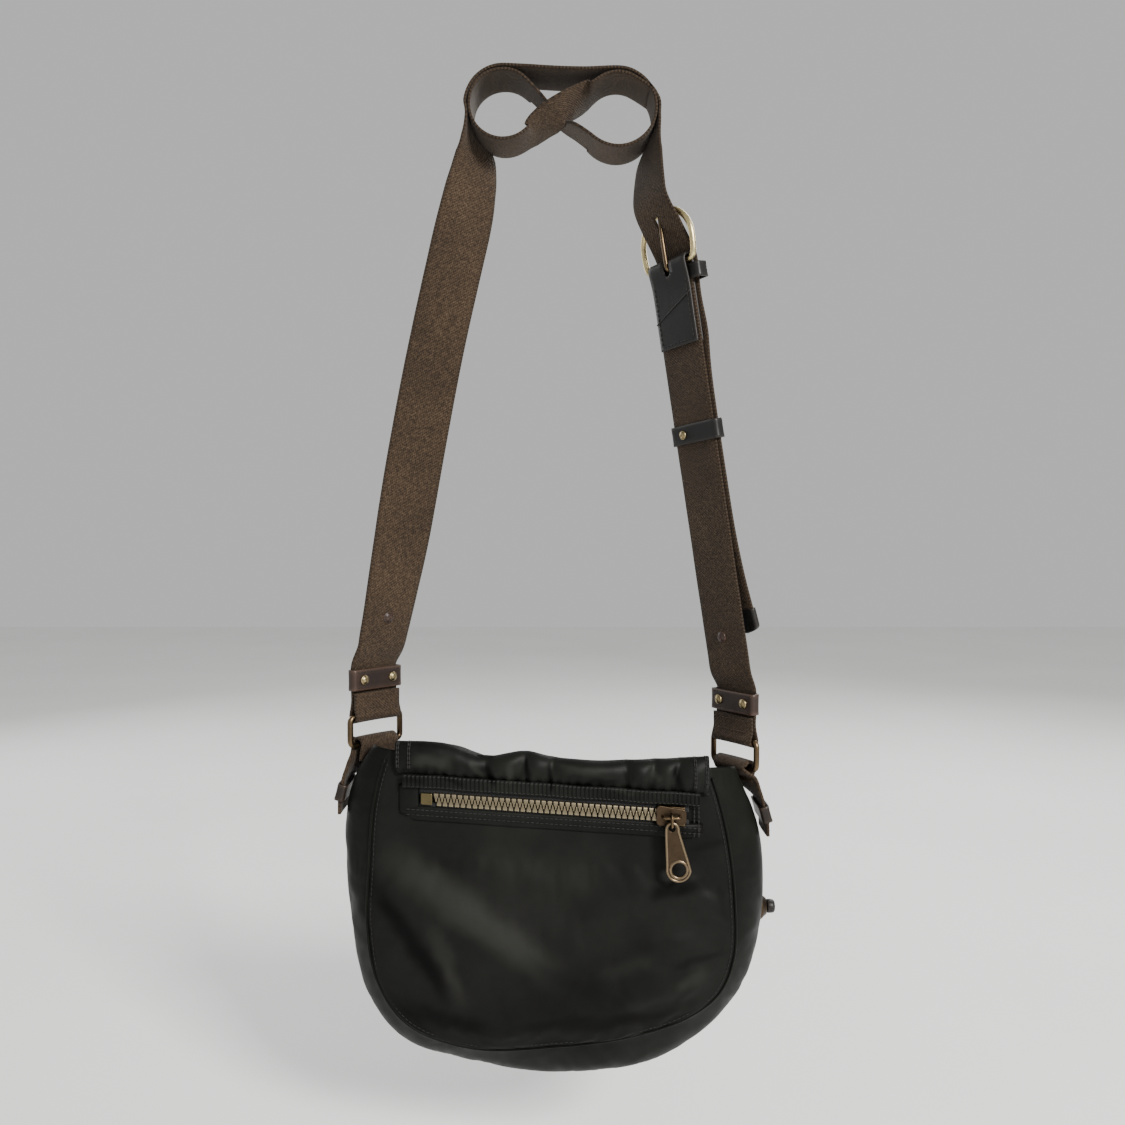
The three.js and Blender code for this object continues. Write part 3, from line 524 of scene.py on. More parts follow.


# Painted highlights and painted shadows in the satin's colour, along folds where it catches the light or
# falls into shadow, on the back panel, gusset and flap: x and z of both ends, half width, and strength.
LIT_FOLDS = [
    (-120, -490, 4, -580, 19, 1.0), (-84, -536, -64, -602, 11, 0.55), (98, -572, 76, -588, 8, 0.5),
    (24, -580, 66, -560, 9, 0.22), (-60, -498, 40, -516, 16, 0.22),
]
SHADOW_FOLDS = [
    (-128, -508, -66, -600, 12, 1.0), (100, -515, 54, -525, 6.5, 1.0), (-116, -598, -40, -614, 11, 0.9),
    (-40, -612, 84, -602, 9, 0.8), (110, -560, 70, -572, 5, 0.5), (-30, -560, 52, -606, 10, 0.3),
    (112, -488, 84, -496, 4, 0.5),
]
SIDE_LIT = [(-132, -470, -128, -530, 3, 0.25)]
SIDE_SHADOW = [
    (-112, -596, -60, -622, 9, 0.8), (-60, -622, 60, -630, 9, 0.95), (60, -630, 104, -600, 7, 0.7),
    (-138, -480, -130, -560, 3, 0.5), (124, -500, 122, -560, 3, 0.4),
]
FLAP_LIT = [
    (-98, -430, -70, -440, 7, 0.8), (-58, -432, -52, -446, 4, 0.5), (-36, -436, -30, -450, 5, 0.6),
    (0, -438, 30, -441, 5, 0.6), (58, -440, 66, -448, 4, 0.6), (30, -452, 50, -453, 3, 0.4),
]
FLAP_SHADOW = [
    (-52, -437, -42, -452, 4, 1.0), (-22, -430, -20, -452, 2.2, 1.0), (-8, -436, -5, -456, 3.5, 1.0),
    (4, -447, 40, -448, 3.5, 0.9), (42, -439, 47, -456, 3, 0.9), (74, -436, 79, -456, 4, 1.0),
    (-80, -444, -62, -452, 3, 0.7), (-110, -444, -86, -448, 3, 0.6),
]


def nylon(name, dark, light, lit=(), shaded=()):
    paint = Paint(name, 0.47, Sheen_Weight=0.02, Sheen_Roughness=0.35, IOR=1.18)
    patch = paint.noise(16, 4, 0.6)
    tone = paint.ramp(patch, [(0.32, dark), (0.68, light)])
    if lit:
        # Painted highlight along the lit folds, then painted shadow along the shadow folds.
        tone = paint.blend(paint.streaks(lit), tone, tuple(2.1 * c for c in light))
        tone = paint.blend(paint.streaks(shaded), tone, tuple(0.15 * c for c in dark))
    paint.colour(tone)
    paint.roughness(paint.span(paint.noise(45, 3), 0.40, 0.54))
    weave = paint.plus(paint.waves(paint.place, 420, "X"), paint.waves(paint.place, 420, "Z"))
    paint.relief(weave, 0.00006, 0.3)
    paint.relief(paint.noise(17, 2, 0.5, distortion=1.2), 0.003, 0.45)
    paint.relief(paint.noise(60, 2, 0.5, distortion=0.4), 0.0006, 0.35)
    return paint.material


def webbing_cloth(name, dark, mid, light):
    """Dense twill webbing: slanted ribs across the strap, flecked yarn and a plain selvedge."""
    paint = Paint(name, 0.82, Sheen_Weight=0.05, Sheen_Roughness=0.5, Specular_IOR_Level=0.2)
    lay = paint.lay()
    split = paint.add("ShaderNodeSeparateXYZ", {"Vector": lay})
    across, run = split.outputs["X"], split.outputs["Y"]
    wander = paint.span(paint.noise(240, 2), -0.00045, 0.00045)
    slant = paint.plus(paint.plus(run, paint.times(across, 0.9)), wander)
    rib, yarn, dashes = (paint.math("SINE", paint.times(where, 2 * math.pi / period)) for where,
        period in ((slant, 0.0021), (across, 0.0013), (run, 0.0024)))
    weave = paint.plus(paint.times(rib, 0.55), paint.times(yarn, 0.4))
    fleck = paint.plus(paint.times(weave, 0.13), paint.noise(620, 3, 0.7))
    tone = paint.ramp(fleck, [(0.30, dark), (0.52, mid), (0.76, light)])
    broad = paint.ramp(paint.noise(26, 3), [(0.3, (0.80, 0.78, 0.76)), (0.7, (1.12, 1.1, 1.08))])
    tone = paint.blend(1.0, tone, broad, "MULTIPLY")
    edge = paint.span(paint.math("ABSOLUTE", across), 0.0, 1.0, 0.0168, 0.0184)
    selvedge = paint.ramp(paint.span(dashes, 0, 1, -1, 1), [(0.35, tuple(c * 0.5 for c in dark)),
        (0.8, mid)])
    paint.colour(paint.blend(paint.times(edge, 0.7), tone, selvedge))
    paint.relief(weave, 0.00022, 0.8)
    paint.relief(paint.noise(900, 2), 0.00018, 0.6)
    return paint.material


def leather(name, dark, light, edge_wear_and_highlight, rough=0.42):
    paint = Paint(name, rough, Specular_IOR_Level=0.25, Coat_Weight=0.04, Coat_Roughness=0.3)
    base = paint.ramp(paint.noise(55, 4, 0.6), [(0.3, dark), (0.7, light)])
    # Lighter colour on sharp edges: partly wear, partly a painted highlight.
    paint.colour(paint.blend(paint.times(paint.edge_wear_and_highlight(), 0.75), base, edge_wear_and_highlight))
    paint.roughness(paint.span(paint.noise(130, 3), rough - 0.1, rough + 0.14))
    paint.relief(paint.cells(850, "DISTANCE_TO_EDGE"), 0.00012, 0.5)
    paint.relief(paint.noise(200, 4, 0.6), 0.00025, 0.5)
    return paint.material


def metal(name, dark, mid, bright, rough):
    """Antiqued metal: dark patina in the hollows, polished edges."""
    paint = Paint(name, rough, 1.0)
    patina = paint.ramp(paint.noise(190, 5, 0.65), [(0.28, dark), (0.52, mid), (0.78, mid)])
    paint.colour(paint.blend(paint.edge_wear_and_highlight(0.49, 0.58), patina, bright))
    paint.roughness(paint.span(paint.noise(260, 4), rough - 0.09, rough + 0.16))
    paint.relief(paint.noise(700, 3), 0.00005, 0.5)
    return paint.material


def woven_tape(name, dark, light):
    paint = Paint(name, 0.85, Sheen_Weight=0.04, Sheen_Roughness=0.5, Specular_IOR_Level=0.2)
    chevron = paint.plus(paint.waves(paint.place, 330, "X"), paint.waves(paint.place, 330, "DIAGONAL"))
    paint.colour(paint.ramp(paint.times(chevron, 0.5), [(0.2, dark), (0.8, light)]))
    paint.relief(chevron, 0.00012, 0.8)
    return paint.material


def thread(name, dark, light):
    paint = Paint(name, 0.62, Sheen_Weight=0.05, Specular_IOR_Level=0.3)
    twist = paint.waves(paint.place, 900, "DIAGONAL")
    paint.colour(paint.ramp(twist, [(0.2, dark), (0.8, light)]))
    paint.relief(twist, 0.00008, 0.8)
    return paint.material


NYLON = nylon("satin_nylon", (0.0036, 0.0037, 0.0032), (0.0085, 0.0087, 0.0076), LIT_FOLDS, SHADOW_FOLDS)
# The gusset's nylon is a darker copy of the panels' nylon: painted shade on the sides.
NYLON_SIDE_SHADED = nylon("satin_nylon_side_shaded", (0.0024, 0.0028, 0.0020), (0.0058, 0.0066, 0.0048), SIDE_LIT,
    SIDE_SHADOW)
NYLON_FLAP = nylon("satin_nylon_flap", (0.0032, 0.0033, 0.0028), (0.0085, 0.0088, 0.0076), FLAP_LIT,
    FLAP_SHADOW)
LINING = woven_tape("lining_cloth", (0.040, 0.033, 0.024), (0.075, 0.062, 0.045))
WEBBING = webbing_cloth("twill_webbing", (0.0130, 0.0076, 0.0040), (0.035, 0.0220, 0.0122),
    (0.074, 0.050, 0.030))
LEATHER = leather("black_leather", (0.0026, 0.0025, 0.0024), (0.0056, 0.0053, 0.0051),
    (0.026, 0.022, 0.019))
LEATHER_TAN = leather("keeper_leather", (0.0050, 0.0034, 0.0026), (0.0125, 0.0080, 0.0056),
    (0.045, 0.029, 0.019))
LEATHER_BROWN = leather("collar_leather", (0.0100, 0.0065, 0.0055), (0.0260, 0.0145, 0.0110),
    (0.085, 0.050, 0.034), 0.36)
BRASS = metal("antique_brass", (0.105, 0.080, 0.034), (0.38, 0.30, 0.135), (0.78, 0.66, 0.38), 0.30)
BRASS_AGED = metal("rivet_brass", (0.045, 0.033, 0.016), (0.150, 0.115, 0.058), (0.42, 0.34, 0.19), 0.34)
BRASS_DULL = metal("zip_brass", (0.008, 0.0065, 0.0045), (0.036, 0.030, 0.020), (0.25, 0.21, 0.14), 0.33)
BRASS_STOP = metal("stop_brass", (0.010, 0.008, 0.004), (0.040, 0.032, 0.014), (0.18, 0.145, 0.075), 0.36)
BRONZE = metal("dark_bronze", (0.008, 0.0055, 0.004), (0.021, 0.0145, 0.010), (0.16, 0.110, 0.062), 0.31)
BRONZE_DARK = metal("patina_bronze", (0.010, 0.007, 0.005), (0.030, 0.021, 0.014), (0.075, 0.052, 0.032),
    0.36)
# A lighter copy of the bronze for the puller's raised rims: painted highlight.
BRONZE_PAINTED_HIGHLIGHT = metal("bronze_painted_highlight", (0.018, 0.012, 0.008), (0.055, 0.039, 0.024), (0.22, 0.165, 0.105),
    0.30)
TAPE = woven_tape("zip_tape", (0.0070, 0.0070, 0.0072), (0.018, 0.018, 0.019))
THREAD = thread("dark_thread", (0.0045, 0.0045, 0.0041), (0.0153, 0.0153, 0.0140))
THREAD_BROWN = thread("brown_thread", (0.020, 0.012, 0.007), (0.050, 0.031, 0.018))


# ---------- strap path ----------
def on_loop(loop, radius, degrees, y=0.0):
    angle = math.radians(degrees)
    return vec(loop[0] + radius * math.cos(angle), y, loop[2] + radius * math.sin(angle))


def bend(reach, count=8):
    """Half turn round a bar, as (n, s) pairs with s growing away from the bar."""
    return [(reach * math.cos(a), -reach * math.sin(a)) for a in np.linspace(0, math.pi, count + 1)]


RING_WIRE = 2.0


class Ring:
    """A strap ring's place: width direction, outward direction and the heights of its bars."""

    def __init__(self, node, turn, side):
        low, high = corners(node)
        self.centre = (low + high) / 2
        self.top = high[2] - RING_WIRE
        self.bottom = low[2] + RING_WIRE
        self.turn = turn
        self.side = side
        self.across = turned(turn, side)
        self.out = np.cross(self.across, UPWARD)
        self.front = 1 if self.out[1] < 0 else -1

    def at(self, n, s, bar="top"):
        base = vec(self.centre[0], self.centre[1], self.top + s if bar == "top" else self.bottom - s)
        return base + self.out * n


RING_L = Ring("ring_left", 48.0, -1)
RING_R = Ring("ring_right", 56.0, 1)

# Right-hand strap: u across it, n out of its rear face, s down its run from the buckle's centre.
BUCKLE_HALF = 18.5
RUN_DIR = unit(vec(*JOINTS["keeper_slide"]["axis"]))
RUN_ACROSS = unit(vec(*JOINTS["buckle_tilt"]["axis"]))
RUN_OUT = np.cross(RUN_ACROSS, RUN_DIR)
BUCKLE_AT = vec(*JOINTS["buckle_tilt"]["pos_m"]) / MM - RUN_DIR * BUCKLE_HALF
STRAP_TURN = 53.0


def on_run(u, n, s):
    return BUCKLE_AT + RUN_ACROSS * u + RUN_OUT * n + RUN_DIR * s


class Route:
    """A strap's route: stations of a point, a width direction and a share of the full width."""

    def __init__(self):
        self.stations = []

    def go(self, point, across, share=1.0):
        self.stations.append((np.asarray(point, float), np.asarray(across, float), share))
        return self

    def sample(self, step):
        points = np.array([s[0] for s in self.stations])
        across = np.array([s[1] for s in self.stations])
        share = np.array([s[2] for s in self.stations])
        run = run_of(points)
        count = int(run[-1] / step)
        shares = np.linspace(0, 1, count + 1)
        centres = smooth_path(points, shares)
        where = shares * run[-1]
        widths = np.stack([np.interp(where, run, across[:, k]) for k in range(3)], axis=1)
        return centres, widths, np.interp(where, run, share)


LEG_L = [
    (-62.3, 0, -6), (-57.5, 2, -30), (-62.5, 0, -62), (-71.0, -2, -100), (-84.5, -3, -160),
    (-98, -4, -230), (-110, -6, -300), (-119.5, -7, -350), (-123.6, -8, -369),
]
LEG_L_TURN = [
    (0, 90), (0.07, 50), (0.15, 28), (0.25, 4), (0.4, 0), (0.6, 6), (0.75, 20), (0.9, 38), (1, 46),
]
FOLD_END = 16.0                                    # where the turned-up end stops, above the ring's bar


def fold_stations(route, ring):
    """The turned-up end in front, round the ring's bar and up behind."""
    for s in (FOLD_END, 11, 6):
        route.go(ring.at(ring.front * 1.75, s), ring.across)
    for n, s in bend(3.5):
        route.go(ring.at(ring.front * n, s), ring.across)
    for s in (10, 18, 26, 34):
        route.go(ring.at(-ring.front * 1.2, s), ring.across)


def leg_left_stations(route):
    shares = np.linspace(0.985, 0.0, 30)
    centres = smooth_path(LEG_L, shares)
    turns = np.interp(shares, [t for t, _ in LEG_L_TURN], [a for _, a in LEG_L_TURN])
    for centre, turn in zip(centres, turns):
        route.go(centre, turned(turn, -1))


def arc_stations(route, loop, radius, start, end, step=12.0, lift=None):
    for angle in np.linspace(start, end, int(abs(end - start) / step) + 1):
        extra = 0.0 if lift is None else lift(angle)
        route.go(on_loop(loop, radius + extra, angle), REARWARD)


def diagonal_stations(route, start, end, middle_y, roll, pinch):
    offsets = [(0.06, 0.0), (0.14, 0.03), (0.32, 0.6), (0.5, 1.0), (0.68, 0.6), (0.86, 0.03), (0.94, 0.0)]
    for t, share in offsets:
        squeeze = 1.25 * math.sin(math.pi * t) ** 1.2 - 0.1
        tip = math.radians(roll * squeeze)
        point = lerp(start, end, t)
        point[1] = middle_y * share
        route.go(point, vec(0, -math.cos(tip), math.sin(tip)), 1 - pinch * squeeze)


def wound_strap():
    """Long strap from the left ring, round both hangers, to where it crosses itself."""
    route = Route()
    fold_stations(route, RING_L)
    leg_left_stations(route)
    arc_stations(route, LOOP_L, R_OUTER, 176, 92)
    route.go((-12, 0, 21.6), REARWARD).go((14, 0, 20.4), REARWARD)
    arc_stations(route, LOOP_R, R_OUTER, 89, -126)
    diagonal_stations(route, on_loop(LOOP_R, R_OUTER, -129), on_loop(LOOP_L, R_INNER, 51), 12.5, 0, 0.5)
    arc_stations(route, LOOP_L, R_INNER, 58, 300)
    diagonal_stations(route, on_loop(LOOP_L, R_INNER, -51.5), on_loop(LOOP_R, R_INNER, 130), -10.5, 32,
        0.32)
    arc_stations(route, LOOP_R, R_INNER, 122, 58)
    route.go(on_loop(LOOP_R, R_INNER + 0.8, 44), REARWARD).go(on_loop(LOOP_R, R_OUTER, 30), REARWARD)
    centres, widths, share = route.sample(STRAP_STEP)
    centres = sway(centres, widths, 0.35)
    piece = band("strap_wound", centres, widths, WEB_WIDTH, WEB_THICK, WEBBING, share=share, cup=0.35)
    dress(piece, "webbing", "strap_leg_left", "strap_over_left", "strap_top_band", "strap_outer_right_top",
        "strap_outer_right_base", "strap_cross_far", "strap_inner_left_top", "strap_inner_left_base",
        "strap_cross_near", "strap_inner_right_top", "strap_fold_left")
    return centres, widths


def sway(centres, widths, size):
    """Slight waviness of the webbing, across its thickness."""
    _, out = band_frame(centres, widths)
    shift = np.array([fractal(c, 34) + 0.5 * fractal(c, 15, 7.0) for c in centres])
    return centres + out * (shift * size)[:, None]


def cutter(name, centre, across, run, out, half_across, half_run, reach):
    """A rounded slot, as a solid to cut with."""
    outline = []
    for k in range(24):
        angle = 2 * math.pi * k / 24
        straight = max(half_run - half_across, 0)
        u = half_across * math.cos(angle)
        s = half_across * math.sin(angle) + math.copysign(straight, math.sin(angle))
        outline.append(centre + across * u + run * s)
    points = [p + out * side for side in (-reach, reach) for p in outline]
    return make_mesh(name, points, ring_faces(2, len(outline), False), WEBBING, None)


def cut_holes(piece, tools):
    for tool in tools:
        modify(piece, "BOOLEAN", object=tool, operation="DIFFERENCE", solver="EXACT")
        bpy.data.objects.remove(tool)


TAIL_SHIFT = 1.5
TAIL_END = 256.5


def buckled_strap():
    """Right leg from the hangers through the buckle, and its free end behind the lower strap."""
    route = Route()
    arc_stations(route, LOOP_R, R_OUTER, 36, 8, 9, lambda angle: 2.3 * (36 - angle) / 28)
    for point, turn in (((64.8, 0, -9), 88), ((62.0, -1.0, -21), 80), ((59.8, -2.5, -34), 70)):
        route.go(point, turned(turn, 1))
    for n, s, shift, turn in ((-6, -27, -3.2, 61), (-6.5, -19, -1.6, 57)):
        route.go(on_run(0, n, s) + vec(shift, 0, 0), turned(turn, 1))
    for n, s in ((-3.4, -8), (2.5, 4), (6.4, 14), (6.5, 23), (5.8, 30), (5.4, 44)):
        route.go(on_run(0, n, s), turned(STRAP_TURN, 1))
    for n, s in ((5.2, 66), (3.6, 84), (2.7, 100), (2.7, 165), (3.4, 200), (6, 230), (10, TAIL_END)):
        route.go(on_run(TAIL_SHIFT, n, s), turned(STRAP_TURN, 1))
    centres, widths, share = route.sample(STRAP_STEP)
    piece = band("strap_buckled", centres, widths, WEB_WIDTH, WEB_THICK, WEBBING, share=share, cup=0.3)
    cut_holes(piece, [cutter("hole_cut", on_run(0, -3.9, -10.5), RUN_ACROSS, unit(RUN_DIR + RUN_OUT * 0.3),
        RUN_OUT, 2.3, 4.8, 7),])
    dress(piece, "webbing", "strap_leg_right_upper", "strap_tail")
    return centres, widths


def lower_strap():
    """Right strap from the leather on the buckle down to its folded end on the right ring."""
    route = Route()
    fold_stations(route, RING_R)
    for s in (296, 285, 270, 240, 200, 160, 120, 80, 50, 26):
        route.go(on_run(0, 0, s), RUN_ACROSS)
    centres, widths, _ = route.sample(STRAP_STEP)
    centres = sway(centres, widths, 0.2)
    dress(band("strap_lower", centres, widths, WEB_WIDTH, WEB_THICK, WEBBING, cup=-0.25), "webbing",
        "strap_leg_right_lower", "strap_fold_right")


def tail_tip():
    """Leather-bound end of the strap: a rounded tongue."""
    stations = np.array([on_run(TAIL_SHIFT, n, s) for n, s in ((9.7, 254.5), (10.1, 256.6), (12.2, 271.5))])
    centres = smooth_path(stations, np.linspace(0, 1, 14))
    share = np.sqrt(np.clip(1 - (np.linspace(-0.9, 1, 14).clip(0.45) - 0.45) ** 2 / 0.42, 0.15, 1))
    widths = np.broadcast_to(RUN_ACROSS, centres.shape)
    dress(band("strap_tail_end", centres, widths, WEB_WIDTH + 1.5, 3.4, LEATHER, share=share), "leather",
        "strap_tail_tip")


def fold_stitching(name, ring):
    """Rows of stitches that close the turned-up end."""
    outward = ring.out * ring.front
    for label, s, reach in (("top", FOLD_END - 2.6, 16.0), ("low", 5.8, 14.0)):
        row = [ring.at(ring.front * 2.75, s) + ring.across * u for u in np.linspace(-reach, reach, 24)]
        stitches(f"stitch_fold_{name}_{label}", row, outward, brown=True, pitch=3.0)


# ---------- leather keepers and collars ----------
def loop_band(name, centre, across, out, run, outer_w, outer_n, wall, length, material, body, replaced):
    """A leather loop round the strap, with rounded corners and a slight crown."""
    half_w, half_n = outer_w / 2 - wall / 2, outer_n / 2 - wall / 2
    corner = min(2.2, half_n * 0.7)
    outline = rounded(half_w, half_n, corner, 7)
    dense = []
    for (u0, n0), (u1, n1) in zip(outline, outline[1:] + outline[:1]):
        count = max(1, int(math.hypot(u1 - u0, n1 - n0) / 2.5))
        dense += [(lerp(u0, u1, k / count), lerp(n0, n1, k / count)) for k in range(count)]
    centres = np.array([centre + across * u + out * n for u, n in dense])
    wobble = np.array([fractal(c, 12, 3.0) for c in centres])
    centres += run * (wobble * 0.25)[:, None]
    widths = np.broadcast_to(run, centres.shape)
    dress(band(name, centres, widths, length, wall, material, body, closed=True, cup=0.18, cols=8),
        "leather", replaced)


def rivet(name, seat, facing, radius, height, material, body, replaced=None, slot="antique_brass"):
    """A domed rivet with a rolled rim."""
    r, h = radius, height
    profile = [(0.3 * r, -0.6), (r * 0.98, -0.5), (r * 1.02, 0.1 * h), (r, 0.32 * h), (0.90 * r, 0.5 * h),
        (0.84 * r, 0.48 * h), (0.78 * r, 0.56 * h), (0.55 * r, 0.86 * h), (0.28 * r, 0.98 * h), (0, h)]
    piece = lathe(name, profile, seat, facing, material, body)
    return dress(piece, slot, *([replaced] if replaced else []))


def collar(name, ring):
    centre = ring.at(0, 25.0)
    loop_band(f"collar_{name}_band", centre, ring.across, ring.out, UPWARD, 42, 7.6, 1.4, 14,
        LEATHER_BROWN, "bag", f"collar_{name}")
    facing = ring.out * ring.front
    for label, u in (("outer", 12), ("inner", -12)):
        seat = centre + ring.across * u + facing * 3.95
        rivet(f"rivet_{name}_{label}", seat, facing, 3.2, 2.0, BRASS_AGED, "bag",
            f"collar_rivet_{name}_{label}")
    for label, s in (("upper", 5.2), ("under", -5.2)):
        row = [centre + ring.across * u + facing * 3.95 + vec(0, 0, s) for u in np.linspace(-18, 18, 20)]
        stitches(f"stitch_collar_{name}_{label}", row, facing, pitch=2.6, length=1.8, radius=0.22)


def side_tab(name, ring, points, hem):
    """Webbing tab: round the ring's lower bar and down the outside of the gusset."""
    route = Route()
    path = [ring.at(-n, s, "base") for n, s in [(2.2, 10), (3.4, 4)] + bend(4.8)]
    path += [vec(x, ring.centre[1], z) for x, z in points]
    rough = smooth_path(path, np.linspace(0, 1, 40))
    turn = np.interp(np.linspace(0, 1, 40), [0, 0.45, 0.75, 1], [ring.turn, ring.turn, 90, 90])
    for centre, angle in zip(rough, turn):
        route.go(centre, turned(angle, ring.side))
    centres, widths, _ = route.sample(TAB_STEP)
    dress(band(f"tab_{name}", centres, widths, 31, 2.0, WEBBING, cup=0.3), "webbing", f"side_tab_{name}")
    across, _ = band_frame(centres, widths)
    outward = vec(ring.side, 0, 0)
    for label, back in (("low", hem), ("high", hem + 4)):
        k = -1 - int(back / TAB_STEP)
        row = [centres[k] + across[k] * u + outward * 1.3 for u in np.linspace(-13, 13, 20)]
        stitches(f"stitch_tab_{name}_{label}", row, outward, brown=True, pitch=2.8)


def tab_keeper(name, ring, points):
    a, b = (vec(points[k][0], ring.centre[1], points[k][1]) for k in (2, 3))
    run = unit(b - a)
    across = REARWARD
    out = np.cross(across, run)
    loop_band(f"keeper_{name}_band", lerp(a, b, 0.62), across, out, run, 35.6, 7, 1.3, 11, LEATHER_TAN,
        "bag", f"tab_keeper_{name}")


TAB_L = [(-133, -437), (-138.5, -444), (-145.6, -454), (-148.2, -464), (-148.6, -475)]
TAB_R = [(125.5, -453), (130.5, -460), (136.0, -469), (138.8, -479), (139.6, -490)]


# ---------- rings and buckle ----------
def ring_wire(name, ring, body, replaced):
    """Rectangular ring of round wire with rounded corners."""
    half_width, corner = 21.0, 3.4
    outline = rounded(half_width, (ring.top - ring.bottom) / 2, corner, 9)
    dense = along([ring.centre + ring.across * u + vec(0, 0, v) for u, v in outline], 1.6, closed=True)
    radius = RING_WIRE + 0.10 * np.array([fractal(p, 9) for p in dense])
    dress(tube(name, dense, radius, BRONZE, body, closed=True), "bronze", replaced)


def buckle():
    half_w = 24.0
    bow = [on_run(half_w * math.cos(a), 0, 3 - (BUCKLE_HALF + 3) * math.sin(a))
        for a in np.linspace(0, math.pi, 17)]
    foot = [(-half_w + 0.4, 11), (-half_w + 1.6, BUCKLE_HALF - 2.2), (-half_w + 4.4, BUCKLE_HALF),
        (-8, BUCKLE_HALF), (8, BUCKLE_HALF), (half_w - 4.4, BUCKLE_HALF),
        (half_w - 1.6, BUCKLE_HALF - 2.2), (half_w - 0.4, 11)]
    dense = along(bow + [on_run(u, 0, s) for u, s in foot], 1.5, closed=True)
    crown = np.clip(((dense - BUCKLE_AT) @ -RUN_DIR) / BUCKLE_HALF, 0, 1)
    dress(tube("buckle_loop", dense, 1.95 + 0.5 * crown ** 2, BRASS, "buckle_frame", sides=20,
        closed=True), "antique_brass", "buckle_frame")
    rod = smooth_path([on_run(0, n, s) for n, s in ((0.4, 22.3), (-3.4, 20.4), (-3.9, 15), (-4.0, 6),
        (-3.9, -8), (-3.7, -20.4))], np.linspace(0, 1, 40))
    taper = 1.45 - 0.35 * np.linspace(0, 1, 40) ** 2
    taper[-3:] *= (0.9, 0.7, 0.35)
    dress(tube("buckle_pin", rod, taper, BRONZE, "buckle_prong", sides=14), "antique_brass", "buckle_prong")
    eye = [on_run(0, n, s) for n, s in arc(0, BUCKLE_HALF, 3.6, full_turn(24))]
    dress(tube("buckle_pin_eye", eye, 1.15, BRONZE, "buckle_prong", sides=12, closed=True), "antique_brass")


CHAPE_END = 73.0


def chape():
    """Leather folded round the buckle's bar, with its crease, edges and stitching."""
    layer = 2.4
    stations = [(layer, CHAPE_END), (layer, 60), (layer, BUCKLE_HALF + 14)]
    stations += [(n, BUCKLE_HALF + s) for n, s in bend(3.9)]
    stations += [(-layer, BUCKLE_HALF + 14), (-layer, 60), (-layer, CHAPE_END)]
    points = np.array([on_run(0, n, s) for n, s in stations])
    centres = smooth_path(points, np.linspace(0, 1, 90))
    widths = np.broadcast_to(RUN_ACROSS, centres.shape)
    piece = band("chape_leather", centres, widths, WEB_WIDTH - 2, 1.8, LEATHER, cup=0.1)
    cut_holes(piece, [cutter("hole_cut", on_run(0, 0, BUCKLE_HALF - 0.5), RUN_ACROSS, RUN_DIR, RUN_OUT,
        3.0, 7.5, 9)])
    dress(piece, "leather", "buckle_chape")
    front = -(layer + 0.95)
    half = WEB_WIDTH / 2 - 1.0
    crease = [on_run(u, front, 47 - 0.42 * u) for u in np.linspace(-half, half, 24)]
    dress(tube("chape_crease", crease, 0.42, LEATHER, sides=8), "leather")
    for label, u in (("left", -half + 2.6), ("right", half - 2.6)):
        row = [on_run(u, front, s) for s in np.linspace(30, CHAPE_END - 3, 24)]
        stitches(f"stitch_chape_{label}", row, -RUN_OUT, pitch=3.2, radius=0.26)
    row = [on_run(u, front, CHAPE_END - 2.6) for u in np.linspace(-half + 3, half - 3, 16)]
    stitches("stitch_chape_end", row, -RUN_OUT, pitch=3.2, radius=0.26)


KEEPER_S = 132.0


def strap_keepers():
    loop_band("buckle_keeper_loop", on_run(4.2, 3.9, 27), RUN_ACROSS, RUN_OUT, RUN_DIR, 44, 10.5, 1.5, 10,
        LEATHER, "bag", "buckle_keeper")
    loop_band("strap_keeper_loop", on_run(TAIL_SHIFT / 2, 1.35, KEEPER_S), RUN_ACROSS, RUN_OUT, RUN_DIR,
        44.6, 8.6, 1.5, 13, LEATHER, "strap_keeper", "strap_keeper")
    rivet("strap_keeper_stud", on_run(-9, 1.35 - 4.3, KEEPER_S), -RUN_OUT, 3.0, 1.9, BRASS_AGED,
        "strap_keeper", "strap_keeper_rivet")


def strap_caps():
    """Covered studs near the lower ends of the strap."""
    shares = np.array([0.925, 0.93, 0.935])
    centre = smooth_path(LEG_L, shares)
    width = turned(np.interp(shares, [t for t, _ in LEG_L_TURN], [a for _, a in LEG_L_TURN]), -1)
    _, out = band_frame(centre, width)
    facing = out[1] if out[1][1] < 0 else -out[1]
    rivet("strap_cap_left_dome", centre[1] + facing * 1.1, facing, 3.8, 1.9, LEATHER_BROWN, "bag",
        "strap_cap_left", "leather")
    rivet("strap_cap_right_dome", on_run(-2, -1.2, 272), -RUN_OUT, 3.8, 1.9, LEATHER_BROWN, "bag",
        "strap_cap_right", "leather")


wound_strap()
buckled_strap()
lower_strap()
tail_tip()
for side_name, side_ring, side_points in (("left", RING_L, TAB_L), ("right", RING_R, TAB_R)):
    fold_stitching(side_name, side_ring)
    collar(side_name, side_ring)
    side_tab(side_name, side_ring, side_points, 4)
    tab_keeper(side_name, side_ring, side_points)
    ring_wire(f"ring_{side_name}_wire", side_ring, f"ring_{side_name}", f"ring_{side_name}")
buckle()
chape()
strap_keepers()
strap_caps()

# ---------- bag shell ----------
FLAT_TOP = 0.34                                    # share of the back panel that the zip keeps flat
OUTLINE_SIDE = 0.37                                # share of the outline taken by each side of a panel
CORNER_REACH = 24.0
CORNER_DROP = 17.0
SEAM_CURVE = [(x, 0, z) for x, z in SEAM_OUTLINE]
FULL_CURVE = [(x, 0, z) for x, z in GUSSET_OUTLINE]
FULL_LENGTH = 640.0                                # length of the outer outline, near enough
